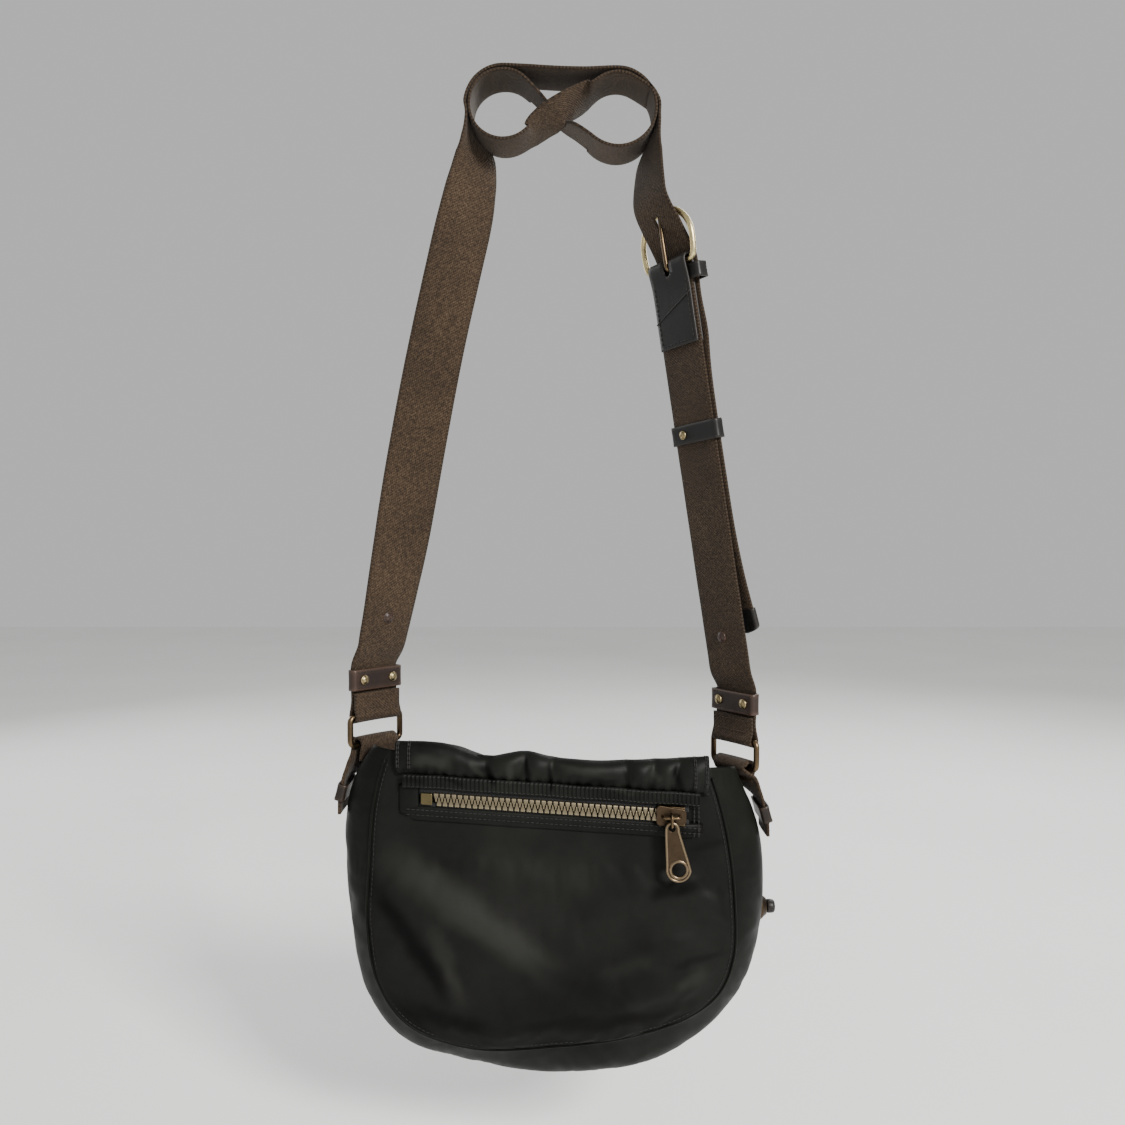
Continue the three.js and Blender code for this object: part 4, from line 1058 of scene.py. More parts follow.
# Depth, swell from the seam outline to the full one, and how far each top corner turns inwards.
GUSSET_LAYERS = [
    (BACK_Y - 0.2, 0, 0, 0, 0), (-30, 0.84, 0, 0, 0), (-18, 1, 9, -3, 0.2), (-7, 1, 20, -11, 1),
    (6, 1, 31, -20, 1), (16, 0.84, 18, -13, 1), (FRONT_Y + 0.2, 0.55, 8, -8, 1),
]


def rim_shares(start, rows, cols):
    """Shares along an outline of a panel's border: down the left, along the base, up the right."""
    left = lerp(start, OUTLINE_SIDE, np.linspace(0, 1, rows + 1))
    base = OUTLINE_SIDE + (1 - 2 * OUTLINE_SIDE) * np.linspace(0, 1, cols + 1)[1:-1]
    return np.concatenate([left, base, 1 - left[::-1]])


def seam_ring(layer, rows, cols):
    y, swell, left, right, trim = layer
    start = trim * CORNER_DROP / FULL_LENGTH
    shares = rim_shares(start, rows, cols)
    ring = lerp(smooth_path(SEAM_CURVE, shares), smooth_path(FULL_CURVE, shares), swell)
    ring[:, 0] += left * np.exp(-((shares - start) * FULL_LENGTH / CORNER_REACH) ** 2)
    ring[:, 0] += right * np.exp(-((1 - start - shares) * FULL_LENGTH / CORNER_REACH) ** 2)
    ring[:, 1] = y
    return ring


def coons(ring, rows, cols):
    """Fills a panel's border with a smooth grid."""
    left, base, right = ring[:rows + 1], ring[rows:rows + cols + 1], ring[rows + cols:][::-1]
    u = np.linspace(0, 1, cols + 1)[None, :, None]
    v = np.linspace(0, 1, rows + 1)[:, None, None]
    top = lerp(left[0], right[0], u)
    ruled = left[:, None] * (1 - u) + right[:, None] * u
    lofted = top * (1 - v) + base[None] * v
    corner = left[0] * (1 - u) * (1 - v) + right[0] * u * (1 - v) + base[0] * (1 - u) * v + base[-1] * u * v
    return ruled + lofted - corner


def belly(rows, cols, flat):
    """Share of the full swell over a panel, with its top left flat, and a quick rise beside the seams."""
    u = np.linspace(0, 1, cols + 1)[None, :]
    v = np.linspace(0, 1, rows + 1)[:, None]
    low = np.clip((v - flat) / (1 - flat), 0, 1)
    dome = np.sin(math.pi * low) * np.sin(math.pi * u)
    beside = np.minimum(np.minimum(u, 1 - u) * cols, (1 - v) * rows)
    return dome, np.clip(beside / 1.5, 0, 1)


# Creases as x and z of both ends, depth and half width; a positive depth is a ridge towards the viewer.
BACK_CREASES = [
    (-122, -496, 2, -586, 5.0, 15), (-122, -526, -50, -600, -3.0, 11), (-92, -545, -62, -606, 2.2, 9),
    (-60, -490, 50, -560, -2.0, 14), (-112, -484, -70, -488, -0.9, 4), (106, -506, 46, -522, 2.4, 6),
    (104, -516, 48, -531, -3.0, 6), (114, -548, 52, -560, 1.8, 6), (108, -566, 36, -600, 3.0, 10),
    (96, -590, 20, -612, -2.0, 6), (70, -560, 10, -598, 0.8, 9), (112, -545, 88, -556, -1.0, 4),
    (108, -572, 80, -578, 0.9, 4), (-20, -600, 30, -606, 0.7, 5), (-80, -600, -50, -618, 0.9, 5),
    (114, -558, 82, -566, 1.6, 3.2), (110, -572, 76, -588, 1.7, 3.4), (102, -588, 78, -600, -1.5, 3.2),
    (92, -600, 56, -600, 1.2, 3.2), (52, -560, 92, -547, 1.1, 3.4), (38, -574, 84, -560, -1.1, 3.2),
    (112, -476, 92, -484, -1.3, 3.2), (114, -488, 90, -498, 1.3, 3.4), (-124, -478, -96, -486, -1.3, 3.4),
    (-122, -492, -92, -500, 1.1, 3.6), (-124, -560, -100, -574, 1.2, 3.4),
    (-116, -584, -92, -594, -1.2, 3.4), (-60, -612, -20, -618, 1.1, 3.4),
]


def crease_depth(x, z, creases):
    total = np.zeros_like(x)
    for x0, z0, x1, z1, depth, half in creases:
        dx, dz = x1 - x0, z1 - z0
        length = math.hypot(dx, dz)
        along_share = ((x - x0) * dx + (z - z0) * dz) / length ** 2
        off = ((x - x0) * dz - (z - z0) * dx) / length
        off = off + 3.0 * np.sin(along_share * 5.0 + x0)
        fade = np.clip(np.sin(math.pi * np.clip(along_share, 0, 1)), 0, 1) ** 0.7
        total += depth * fade * np.exp(-(off / half) ** 2)
    return total


def bag_shell():
    """Back, gusset and front as one lofted skin, let out a little and relaxed as cloth between its seams."""
    rows, cols = 58, 78
    ys = np.linspace(GUSSET_LAYERS[0][0], GUSSET_LAYERS[-1][0], 17)
    table = np.array(GUSSET_LAYERS, float)
    layers = np.stack([np.interp(ys, table[:, 0], table[:, k]) for k in range(5)], axis=1)
    for _ in range(2):
        layers[1:-1, 1:] = (layers[:-2, 1:] + 2 * layers[1:-1, 1:] + layers[2:, 1:]) / 4
    rings = [seam_ring(layer, rows, cols) for layer in layers]
    back, front = coons(rings[0], rows, cols), coons(rings[-1], rows, cols)
    dome, beside = belly(rows, cols, FLAT_TOP + 0.02)
    back[..., 1] -= 4.2 * dome + 0.9 * beside
    back[..., 1] -= crease_depth(back[..., 0], back[..., 2], BACK_CREASES) * np.clip(dome * 2.5, 0, 1)
    dome, beside = belly(rows, cols, 0.1)
    front[..., 1] += 1.4 * dome + 0.7 * beside
    sag = np.linspace(1, 0, rows + 1)[:, None] ** 6 * np.sin(math.pi * np.linspace(0, 1, cols + 1))[None]
    front[..., 2] -= 2.5 * sag
    border = [i * (cols + 1) for i in range(rows + 1)] + [rows * (cols + 1) + j for j in range(1, cols)]
    border += [i * (cols + 1) + cols for i in range(rows, -1, -1)]
    size = (rows + 1) * (cols + 1)
    around = len(border)
    inner = np.array(rings[1:-1])
    points = np.vstack([back.reshape(-1, 3), inner.reshape(-1, 3), front.reshape(-1, 3)])
    ids = [np.array(border)] + [size + k * around + np.arange(around) for k in range(len(inner))]
    ids.append(size + len(inner) * around + np.array(border))
    faces, kinds = [], []
    for base, flip in ((0, 1), (size + len(inner) * around, -1)):
        for i in range(rows):
            for j in range(cols):
                a = base + i * (cols + 1) + j
                faces.append([a, a + 1, a + cols + 2, a + cols + 1][::flip])
                kinds.append(0)
    for a, b in zip(ids[:-1], ids[1:]):
        for k in range(around - 1):
            faces.append([int(a[k]), int(a[k + 1]), int(b[k + 1]), int(b[k])])
            kinds.append(1)
    piece = make_mesh("bag_shell", points, faces, NYLON, None)
    # The gusset's faces take the darker copy of the nylon, painted shade.
    piece.data.materials.append(NYLON_SIDE_SHADED)
    piece.data.polygons.foreach_set("material_index", kinds)
    held = set(border) | set(ids[-1].tolist()) | set(range(int(FLAT_TOP * rows) * (cols + 1)))
    held |= set(range(int(ids[-1].min()), int(ids[-1].min()) + 3 * (cols + 1)))
    for ring in ids[1:-1]:
        held |= set(ring[:6].tolist()) | set(ring[-6:].tolist())
    relax_cloth(piece, sorted(held), pressure=1.2, growth=-0.012, cap=3.2)
    modify(piece, "SUBSURF", levels=1, render_levels=1)
    modify(piece, "SOLIDIFY", thickness=FABRIC * MM, offset=-1.0, use_even_offset=False)
    piece.data.shade_smooth()
    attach(piece, "bag")
    dress(piece, "nylon", "back_panel", "front_panel", "gusset")
    seams(rings)


CLOTH = {
    "quality": 6, "mass": 0.25, "tension_stiffness": 22, "compression_stiffness": 22,
    "shear_stiffness": 8, "bending_stiffness": 0.35, "air_damping": 3, "use_pressure": True,
    "vertex_group_mass": "held",
}


def relax_cloth(piece, held, pressure, growth, cap):
    """Runs the cloth from frame 1 to 20 with some points held, then limits how far any point has moved."""
    count = len(piece.data.vertices)
    rest = np.zeros(count * 3)
    piece.data.vertices.foreach_get("co", rest)
    group = piece.vertex_groups.new(name="held")
    group.add(held, 1.0, "ADD")
    modifier = piece.modifiers.new("cloth", "CLOTH")
    settings = modifier.settings
    for key, value in dict(CLOTH, uniform_pressure_force=pressure, shrink_min=growth).items():
        setattr(settings, key, value)
    settings.effector_weights.gravity = 0
    modifier.collision_settings.use_collision = False
    scene = bpy.context.scene
    for number in range(1, 21):
        scene.frame_set(number)
    shape = piece.evaluated_get(bpy.context.evaluated_depsgraph_get()).to_mesh()
    moved = np.zeros(count * 3)
    shape.vertices.foreach_get("co", moved)
    piece.modifiers.remove(modifier)
    scene.frame_set(1)
    rest, moved = rest.reshape(-1, 3), moved.reshape(-1, 3)
    shift = moved - rest
    length = np.linalg.norm(shift, axis=1, keepdims=True)
    limit = cap * MM
    shift *= np.where(length > 1e-9, limit * np.tanh(length / limit) / np.maximum(length, 1e-9), 0)
    piece.data.vertices.foreach_set("co", (rest + shift).ravel())
    piece.vertex_groups.clear()
    piece.data.update()


def seams(rings):
    """Welt seams where the panels meet the gusset, with a row of stitches beside each."""
    for name, ring, y, lift, facing in (("back", rings[0], BACK_Y - 0.7, -1.25, REARWARD),
            ("front", rings[-1], FRONT_Y + 0.8, 1.1, FORWARD)):
        path = ring[2:-2].copy()
        path[:, 1] = y
        dense = along(path, 2.2)
        radius = 0.85 + 0.12 * np.array([fractal(p, 7) for p in dense])
        # The seams take the darker copy of the nylon, painted shade.
        dress(tube(f"seam_{name}", dense, radius, NYLON_SIDE_SHADED, sides=10), "nylon", f"piping_{name}")
        inward = unit(np.array([-5, y, -530]) - dense) * 2.9
        inward[:, 1] = lift
        stitches(f"stitch_seam_{name}", dense + inward, facing, pitch=3.3, radius=0.2)


# ---------- flap ----------
FLAP_LEFT, FLAP_RIGHT = corners("flap_shell")[0][0], corners("flap_shell")[1][0]
ZIP_LEFT, ZIP_RIGHT = corners("zip_tape_upper")[0][0], corners("zip_tape_upper")[1][0]
ZIP_SLOPE = JOINTS["zip_slide"]["axis"][2] / JOINTS["zip_slide"]["axis"][0]
ZIP_Z = corners("zip_tape_upper")[1][2] - 8.0
ZIP_Y = corners("zip_tape_upper")[0][1]
SEWN_RISE = 14.5                                   # of the flap's sewn edge above the zip


def zip_z(x):
    return ZIP_Z + (x - ZIP_LEFT) * ZIP_SLOPE


# Height of the flap's rear fold, which sinks between its gathers.
RIM = [
    (-108, -422.0), (-90, -422.0), (-73, -423.5), (-60, -429.0), (-48, -433.0), (-36, -430.0),
    (-23, -428.0), (-12, -430.5), (-4, -433.0), (26, -435.0), (54, -434.2), (79, -433.2), (97, -431.8),
]
GATHERS = [-112, -47, -21, -5, 43, 62, 79, 100]


def rim(x):
    xs, zs = [p[0] for p in RIM], [p[1] for p in RIM]
    return sum(np.interp(x + d, xs, zs) for d in (-6, -3, 0, 3, 6)) / 5


def pillow(x, lean):
    """0 at each gather and 1 between them; lean shifts the gathers sideways with height."""
    place = np.clip(np.asarray(x, float) - lean, GATHERS[0] + 1, GATHERS[-1] - 1)
    k = np.clip(np.searchsorted(GATHERS, place) - 1, 0, len(GATHERS) - 2)
    low, high = np.array(GATHERS)[k], np.array(GATHERS)[k + 1]
    return np.sin(math.pi * (place - low) / (high - low)) ** 0.55


def flap_cloth():
    """One cloth from the ladder band at the back, over the mouth and down the front."""
    cols, rows = 110, 120
    front_level = rim(-5) - 2.0
    columns = []
    for u in np.linspace(0, 1, cols + 1):
        x = lerp(FLAP_LEFT, FLAP_RIGHT, u)
        top = float(rim(x))
        sewn = float(zip_z(x)) + SEWN_RISE
        path = [vec(x, -42.6, sewn), vec(x, -43.4, lerp(sewn, top, 0.35)),
            vec(x, -43.2, lerp(sewn, top, 0.65)), vec(x, -41.6, top - 2.2), vec(x, -39.0, top - 0.3),
            vec(x, -34.0, top - 1.2), vec(x, -20.0, top - 5.5), vec(x, -4.0, top - 9.0),
            vec(x, 12.0, top - 12.0), vec(x, 24.0, top - 14.2)]
        tilt = (top - rim(-5)) * 0.45
        centre = (FLAP_LEFT + FLAP_RIGHT) / 2
        for y, drop, inset in ((29.6, 22, 5.5), (30.6, 40, 8), (31.2, 80, 10), (31.8, 120, 13),
                (31.8, 146, 18), (31.4, 162, 25), (31.0, 172, 36), (30.6, 177, 48)):
            narrow = (FLAP_RIGHT - FLAP_LEFT - 2 * inset) / (FLAP_RIGHT - FLAP_LEFT)
            path.append(vec(centre + (x - centre) * narrow, y,
                front_level - drop + tilt * max(0, 1 - drop / 90)))
        columns.append(smooth_path(path, np.linspace(0, 1, rows + 1)))
    grid = np.array(columns).transpose(1, 0, 2)
    x, y, z = grid[..., 0], grid[..., 1], grid[..., 2]
    sewn, top = zip_z(x) + SEWN_RISE, rim(x)
    height = np.clip((z - sewn) / (top - sewn), 0, 1)
    rear = np.clip((-30 - y) / 8, 0, 1)
    lean = (1 - height) * 7 * np.sin(x / 17.0)
    puff = 4.4 * pillow(x, lean) * np.sin(math.pi * np.clip(height * 0.9 + 0.02, 0, 1)) ** 0.7
    gather = 0.9 * np.sin(x * 2 * math.pi / 7.3 + 2 * np.sin(x / 13)) * np.clip(1 - height * 1.9, 0, 1)
    grid[..., 1] -= rear * (puff - 1.4 + gather)
    folds = np.array([[fractal(p, 26, 4.0) + 0.4 * fractal(p, 11, 9.0) for p in row] for row in grid])
    grid[..., 1] -= rear * 1.1 * folds
    on_top = np.clip((y + 34) / 8, 0, 1) * np.clip((26 - y) / 6, 0, 1)
    grid[..., 2] -= on_top * (0.9 + 0.9 * folds)
    front = np.clip((y - 27) / 3, 0, 1)
    grid[..., 1] -= front * (0.45 + 0.45 * folds)
    piece = grid_piece("flap_cloth", grid, FABRIC, NYLON_FLAP, None)
    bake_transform(piece)
    dress(piece, "nylon", "flap_rear", "flap_shell")
    hem = [grid[k, 3] for k in range(rows // 2 + 4, rows - 3)] + [grid[rows - 4, k]
        for k in range(3, cols - 2)]
    hem += [grid[k, cols - 3] for k in range(rows - 4, rows // 2 + 3, -1)]
    hem = np.array(hem) + vec(0, flap_face(grid), 0)
    stitches("stitch_flap_hem", hem, FORWARD, body="flap", pitch=3.3, radius=0.22)
    return grid


def flap_face(grid):
    """Distance from the grid to the flap's outer face at the front."""
    outer, inner = sheet_points(grid, FABRIC)
    return 0.05 + max(0.0, float((inner[-10, 50] - outer[-10, 50])[1]))


def ladder_band():
    """Shirred band over the zip's upper edge: cross ribs between two rows of stitches."""
    left, right = corners("flap_seam_band")[0][0], corners("flap_seam_band")[1][0]
    front = corners("flap_seam_band")[0][1]
    xs = np.linspace(left, right, 761)
    rung = 2.75
    profile = [(7.0, 0.6), (7.4, 0.0), (8.6, -0.15), (9.6, 0.0), (10.4, -0.2), (12.6, -0.25), (13.6, 0.0),
        (14.6, -0.15), (15.6, 0.0), (16.0, 0.6)]
    grid = np.zeros((len(profile), len(xs), 3))
    wave = 0.5 + 0.5 * np.cos(2 * math.pi * xs / rung)
    drift = np.array([fractal((x, 0, 0), 22, 2.0) for x in xs])
    for i, (rise, back) in enumerate(profile):
        ribbed = 1.0 if 8.0 < rise < 15.0 else 0.0
        grid[i, :, 0] = xs
        grid[i, :, 1] = front + 0.55 + back - ribbed * 0.75 * wave + 0.25 * drift
        grid[i, :, 2] = zip_z(xs) + rise + 0.5 * drift
    dress(grid_piece("ladder_band", grid[::-1], -1.1, NYLON_FLAP), "nylon", "flap_seam_band")
    for label, rise in (("upper", 14.9), ("under", 8.1)):
        row = np.stack([xs, np.full_like(xs, front + 0.42), zip_z(xs) + rise + 0.5 * drift], axis=1)
        stitches(f"stitch_ladder_{label}", row, REARWARD, pitch=rung, length=2.0, radius=0.3)


def side_stitching(grid):
    """Two bands of chain stitches down each rear edge of the flap, two rows in each band."""
    cols = grid.shape[1] - 1
    for name, near, far in (("left", 1, 5), ("right", cols - 5, cols - 1)):
        for label, rail in (("a", grid[2:24, near]), ("b", grid[2:24, far])):
            for part, shift in (("outer", -0.55), ("inner", 0.55)):
                row = along(rail + vec(shift, -0.25, 0), 1.0)
                stitches(f"stitch_side_{name}_{label}_{part}", row, REARWARD, pitch=2.9, length=2.5,
                    radius=0.42)


# ---------- zip ----------
def strip_grid(x0, x1, low, high, y, count=60, rows=3, ripple=0.12):
    xs = np.linspace(x0, x1, count + 1)
    grid = np.zeros((rows + 1, count + 1, 3))
    for i, rise in enumerate(np.linspace(high, low, rows + 1)):
        grid[i, :, 0] = xs
        grid[i, :, 1] = y + ripple * np.array([fractal((x, rise, 0), 14) for x in xs])
        grid[i, :, 2] = zip_z(xs) + rise
    return grid


def zip_tapes():
    for name, low, high in (("upper", 2.6, 8.0), ("lower", -9.0, -2.6)):
        dress(grid_piece(f"tape_{name}", strip_grid(ZIP_LEFT, ZIP_RIGHT, low, high, ZIP_Y + 0.1), 0.8,
            TAPE), "zip_tape", f"zip_tape_{name}")


def zip_teeth():
    """Separate cast teeth, with noses that mesh and shoulders that grip the tape."""
    pitch = 3.9
    waist = 1.3                                    # height that the teeth taper towards
    count = int((ZIP_RIGHT - ZIP_LEFT - 14) / pitch)
    outline = [(-1.5, 4.3), (1.5, 4.3), (1.62, 3.0), (1.5, 1.9), (0.95, 0.5), (0.62, -0.8), (0.35, -1.7),
        (-0.35, -1.7), (-0.62, -0.8), (-0.95, 0.5), (-1.5, 1.9), (-1.62, 3.0)]
    depth = [(0.0, 1.0), (-1.6, 1.0), (-2.1, 0.9), (-2.35, 0.66)]
    for name, side, shift in (("upper", 1, 0.0), ("lower", -1, pitch / 2)):
        points, faces = [], []
        for k in range(count):
            x0 = ZIP_LEFT + 10.9 + shift + k * pitch
            for n, size in depth:
                for x, z in outline:
                    tall = waist + (z - waist) * size
                    points.append(vec(x0 + x * size, ZIP_Y - 0.35 + n,
                        zip_z(x0) + side * tall + x * size * ZIP_SLOPE))
            base = k * len(depth) * len(outline)
            faces += [[base + i for i in face] for face in ring_faces(len(depth), len(outline), False)]
        dress(make_mesh(f"teeth_{name}", points, faces, BRASS_DULL, smooth=False), "antique_brass",
            f"zip_teeth_{name}")


def plate_piece(name, outline, y0, y1, material, body, bevel=0.4, holes=()):
    """A plate in the XZ plane with bevelled edges and round holes (x, z, radius)."""
    points = [vec(x, y, z) for y in (y0, y1) for x, z in outline]
    piece = make_mesh(name, points, ring_faces(2, len(outline), False), material, None)
    y = (y0 + y1) / 2
    cut_holes(piece, [cutter("hole_cut", vec(x, y, z), vec(1, 0, 0), UPWARD, FORWARD, r, r, 6) for x, z,
        r in holes])
    modify(piece, "BEVEL", width=bevel * MM, segments=3, limit_method="ANGLE", angle_limit=math.radians(40))
    piece.data.shade_smooth()
    modify(piece, "WEIGHTED_NORMAL", keep_sharp=True)
    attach(piece, body)
    return piece


def round_box(x0, x1, z0, z1, corner, slope=0.0):
    outline = rounded((x1 - x0) / 2, (z1 - z0) / 2, corner, 6)
    return [((x0 + x1) / 2 + u, (z0 + z1) / 2 + v + slope * u) for u, v in outline]


def zip_slider():
    x = middle("zip_slider")[0]
    z = zip_z(x)
    half = 9.8
    face = JOINTS["puller_swing"]["pos_m"][1] / MM + 4.2
    taper = [(px, z + (pz - z) * (1.0 - 0.16 * (px - x) / half)) for px,
        pz in round_box(x - half, x + half, z - 5.9, z + 5.9, 2.6, ZIP_SLOPE)]
    dress(plate_piece("slider_top", taper, face - 0.2, face + 1.5, BRONZE_DARK, "zip_slider", 0.55),
        "bronze", "zip_slider")
    for label, side in (("upper", 1), ("lower", -1)):
        rail = round_box(x - half + 0.6, x + half - 0.6, z + side * 5.35 - 0.75, z + side * 5.35 + 0.75,
            0.6, ZIP_SLOPE)
        dress(plate_piece(f"slider_rail_{label}", rail, face + 1.0, ZIP_Y - 0.35, BRONZE, "zip_slider",
            0.3), "bronze")
    path = [vec(x + dx, face + dy, z) for dx, dy in ((-5.6, 0.6), (-5.4, -2.2), (-4.4, -3.9), (-2, -4.3),
        (0, -4.35), (2, -4.3), (4.4, -3.9), (5.4, -2.2), (5.6, 0.6))]
    dress(tube("slider_bail", smooth_path(path, np.linspace(0, 1, 40)), 1.05, BRONZE, "zip_slider",
        sides=12), "bronze")
    return x, z


def zip_pull(x, z):
    pull_y = JOINTS["puller_swing"]["pos_m"][1] / MM
    drop = (JOINTS["pull_lift"]["pos_m"][2] - JOINTS["puller_swing"]["pos_m"][2]) / MM
    low = corners("zip_puller")[0][2]
    path = [(0, 2.6), (-2.3, 1), (-2.6, -0.5 * drop), (-2, -drop), (0, -drop - 0.2), (2, -drop),
        (2.6, -0.5 * drop), (2.3, 1)]
    dense = along([vec(x, pull_y + dy, z + dz) for dy, dz in path], 0.8, closed=True)
    dress(tube("pull_loop", dense, 0.8, BRONZE, "pull_link", sides=12, closed=True), "bronze",
        "zip_pull_link")
    top = z - drop - 1
    tip_x, tip_z, tip_r, neck_r, lean = x + 4.5, low + 8.0, 8.0, 4.2, 0.14
    outline = arc(tip_x, tip_z, tip_r, np.linspace(math.pi - lean, 2 * math.pi - lean, 24))
    outline += arc(x, top, neck_r, np.linspace(-lean, math.pi - lean, 14))
    plate = plate_piece("pull_plate", outline, pull_y - 0.6, pull_y + 1.1, BRONZE_DARK, "zip_puller", 0.4,
        [(tip_x, tip_z, 5.2), (x, top, 2.1)])
    dress(plate, "bronze", "zip_puller")
    # The puller's raised rims take the lighter bronze, a painted highlight.
    centre = np.mean(outline, axis=0)
    edge = [vec(px + (centre[0] - px) * 0.07, pull_y - 0.3, pz + (centre[1] - pz) * 0.035) for px,
        pz in outline]
    dress(tube("pull_plate_edge", along(edge, 0.9, closed=True), 0.95, BRONZE_PAINTED_HIGHLIGHT, "zip_puller",
        sides=10, closed=True), "bronze")
    rim_path = [vec(px, pull_y, pz) for px, pz in arc(tip_x, tip_z, 5.5, full_turn(40))]
    dress(tube("pull_plate_rim", rim_path, 1.2, BRONZE_PAINTED_HIGHLIGHT, "zip_puller", sides=12, closed=True),
        "bronze")


def zip_surround():
    """Folded fabric lip round the zip, its stop and its stitches."""
    x0 = ZIP_LEFT - 12
    low = strip_grid(x0, ZIP_RIGHT + 9, -15.5, -5.2, ZIP_Y + 0.25, 110, 8, 0.3)
    low[:, :, 1] += np.array([0.2, -0.95, -1.05, -0.75, -0.15, 0.55, 1.25, 1.8, 2.3])[:, None]
    low[:, -8:, 1] += np.linspace(0, 1, 8) ** 2 * 3.0
    low[:, :8, 1] += np.linspace(1, 0, 8) ** 2 * 3.0
    dress(grid_piece("zip_lip_lower", low, 0.9, NYLON_FLAP), "nylon")
    end = strip_grid(x0 - 2, ZIP_LEFT - 0.5, -11.0, 7.5, ZIP_Y + 0.2, 10, 12, 0.2)
    end[:, :, 1] += np.array([3.0, 1.7, 0.8, 0.3, 0.0, -0.2, -0.4, -0.5, -0.5, -0.3, 0.4])
    dress(grid_piece("zip_lip_end", end, 0.9, NYLON_FLAP), "nylon")
    xs = np.linspace(x0 + 3, ZIP_RIGHT + 8, 120)
    for label, rise in (("inner", -7.6), ("outer", -11.4)):
        row = np.stack([xs, np.full_like(xs, ZIP_Y - 1.75 if label == "inner" else ZIP_Y - 0.4),
            zip_z(xs) + rise], axis=1)
        stitches(f"stitch_zip_{label}", row, REARWARD, pitch=3.1, length=2.2, radius=0.3)
    row = [vec(ZIP_LEFT - 4.5, ZIP_Y - 0.05, zip_z(ZIP_LEFT) + rise) for rise in np.linspace(-11, 6, 12)]
    stitches("stitch_zip_end", row, REARWARD, pitch=2.6, length=1.9, radius=0.3)
    for label, x in (("near", ZIP_RIGHT + 3.5), ("far", ZIP_RIGHT + 6.5)):
        row = [vec(x, ZIP_Y + 0.6, zip_z(x) + rise) for rise in np.linspace(-14, 7, 14)]
        stitches(f"stitch_zip_right_{label}", row, REARWARD, pitch=2.9, length=2.4, radius=0.45)
    a, b = corners("zip_stop_left")[0][0], corners("zip_stop_left")[1][0]
    z = zip_z((a + b) / 2)
    dress(plate_piece("zip_end_stop", round_box(a, b, z - 3.8, z + 3.8, 0.8, ZIP_SLOPE), ZIP_Y - 2.9,
        ZIP_Y - 0.35, BRASS_STOP, "bag", 0.5), "antique_brass", "zip_stop_left")


# ---------- inside ----------
def hung_cloth(name, node, top_left, top_right, wave):
    """A soft inner panel that hangs in the bag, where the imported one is."""
    low, high = corners(node)
    cols, rows = 40, 30
    seam_width = 242.5
    shrink = (high[0] - low[0]) / seam_width
    ring = smooth_path(SEAM_CURVE, rim_shares(0.0, rows, cols))
    x, y, _ = middle(node)
    seam_middle, seam_low, seam_high = -6.2, -628, -428
    ring[:, 0] = x + (ring[:, 0] - seam_middle) * shrink
    ring[:, 1] = y
    ring[:, 2] = low[2] + (ring[:, 2] - seam_low) * (high[2] - low[2]) / (seam_high - seam_low)
    grid = coons(ring, rows, cols)
    grid[0, :, 2] = np.linspace(top_left, top_right, cols + 1)
    for i in range(rows + 1):
        for j in range(cols + 1):
            grid[i, j, 1] += wave * (fractal(grid[i, j], 40, 5.0) + 0.4 * fractal(grid[i, j], 17, 2.0))
    piece = dress(grid_piece(name, grid, 0.7, LINING), "lining", node)


# ---------- studs ----------
def side_stud():
    _, y, z = middle("side_stud_base")
    seat = vec(corners("side_stud_base")[0][0], y, z)
    profile = [(2, -0.8), (8.2, -0.6), (8.9, 0.4), (9.0, 1.6), (8.3, 2.7), (7.0, 3.9), (6.2, 5.0),
        (5.4, 5.8), (3, 6.0), (0, 6.0)]
    dress(lathe("side_stud_barrel", profile, seat, (1, 0, 0), BRONZE_DARK), "bronze", "side_stud_base")
    profile = [(3, 0.1), (4.5, 0.2), (4.75, 0.8), (4.7, 3.4), (4.3, 4.8), (3.4, 5.5), (1.6, 5.8), (0, 5.9)]
    dress(lathe("side_stud_button", profile, seat + vec(6.2, 0, 0), (1, 0, 0), LEATHER), "leather",
        "side_stud_cap")


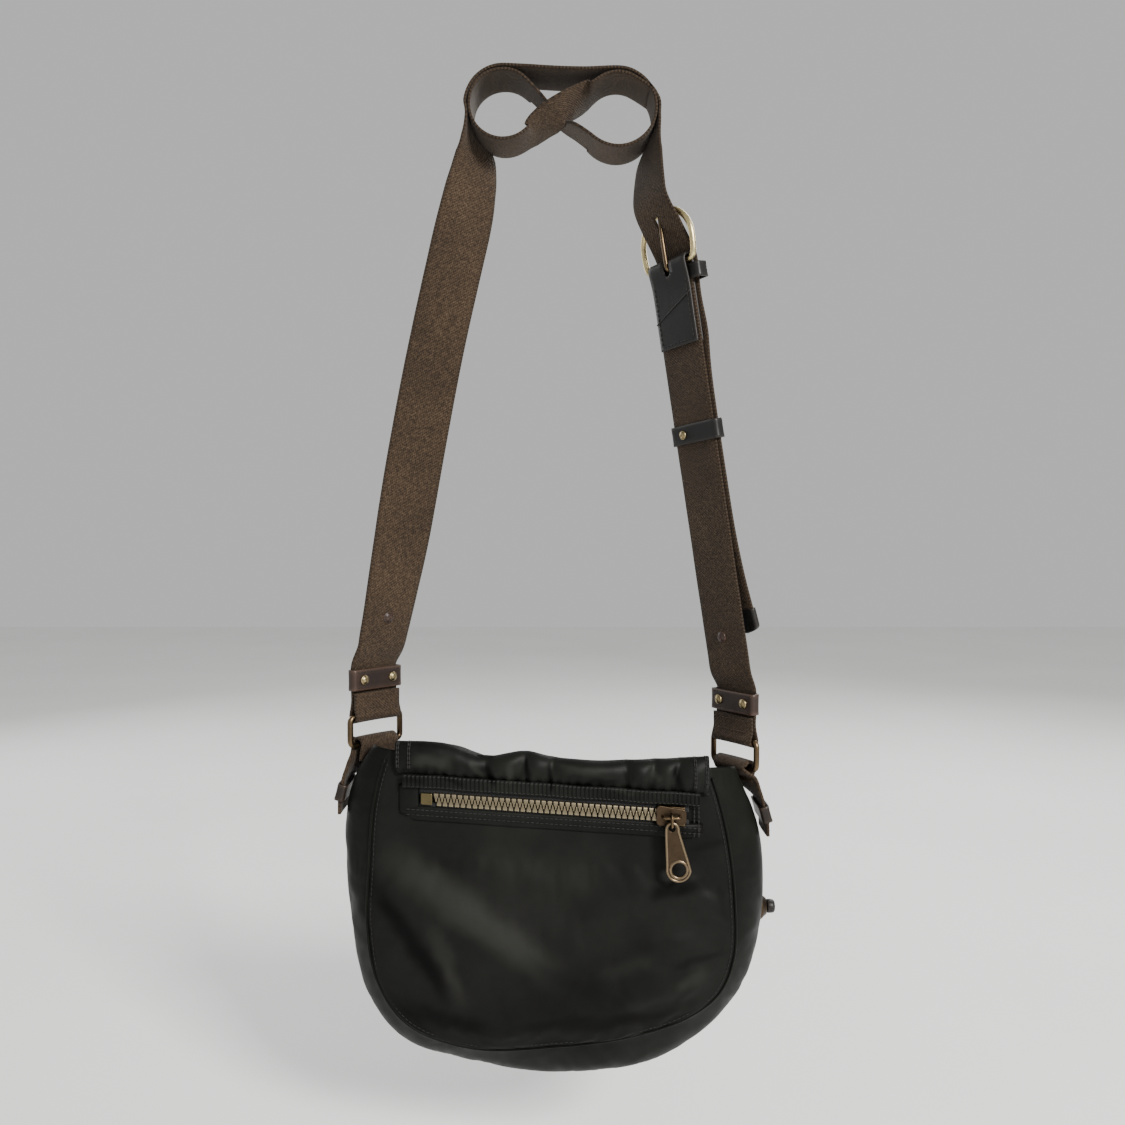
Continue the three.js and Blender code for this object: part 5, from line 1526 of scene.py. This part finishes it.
def snaps():
    x, _, z = middle("snap_socket")
    seat = vec(x, corners("snap_socket")[0][1], z)
    rivet("snap_socket_ring", seat, FORWARD, 7.0, 1.6, BRASS, "bag", "snap_socket")
    x, _, z = middle("snap_stud")
    rivet("snap_stud_post", vec(x, corners("snap_stud")[1][1], z), REARWARD, 5.5, 1.6, BRASS, "flap",
        "snap_stud")
    face = corners("flap_shell")[1][1] + 0.1
    rivet("snap_cap", vec(x, face, z), FORWARD, 7.5, 2.2, BRASS, "flap")


bag_shell()
flap_grid = flap_cloth()
side_stitching(flap_grid)
ladder_band()
zip_tapes()
zip_teeth()
zip_surround()
zip_pull(*zip_slider())
hung_cloth("lining_back_cloth", "lining_back", -444, -454, 1.2)
hung_cloth("lining_front_cloth", "lining_front", -444, -454, 1.2)
hung_cloth("pocket_cloth", "zip_pocket_bag", -466, -476, 0.6)
side_stud()
snaps()


# ---------- stage and light ----------
def area_light(name, place, target, size, power, colour=(1, 1, 1)):
    data = bpy.data.lights.new(name, "AREA")
    data.size = size
    data.energy = power
    data.color = colour
    lamp = bpy.data.objects.new(name, data)
    lamp.location = place
    lamp.rotation_euler = (Vector(target) - Vector(place)).to_track_quat("-Z", "Y").to_euler()
    bpy.context.scene.collection.objects.link(lamp)


def make_stage():
    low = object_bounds()[0]
    half, level = 4.0, low[2] - 0.08
    mesh = bpy.data.meshes.new("floor")
    square = [(x * half, y * half, level) for x, y in ((-1, -1), (1, -1), (1, 1), (-1, 1))]
    mesh.from_pydata(square, [], [(0, 1, 2, 3)])
    paint = Paint("pale_floor", 0.75)
    paint.colour(paint.ramp(paint.noise(3), [(0.3, (0.83, 0.83, 0.82)), (0.7, (0.87, 0.87, 0.86))]))
    mesh.materials.append(paint.material)
    floor = bpy.data.objects.new("floor", mesh)
    bpy.context.scene.collection.objects.link(floor)
    world = bpy.data.worlds.new("studio")
    world.use_nodes = True
    background = world.node_tree.nodes["Background"]
    background.inputs["Color"].default_value = (0.86, 0.87, 0.86, 1)
    background.inputs["Strength"].default_value = 0.64
    bpy.context.scene.world = world
    aim = (0, 0, -0.4)
    area_light("key", (1.15, -1.75, 0.75), aim, 0.55, 95, (1, 0.98, 0.95))
    area_light("fill", (-1.6, -1.4, 0.1), aim, 1.6, 4, (0.95, 0.97, 1))
    area_light("rim", (0.9, 1.3, 0.7), aim, 1.0, 24)
    area_light("back", (-1.3, 1.2, 0.3), aim, 1.2, 12)


make_stage()
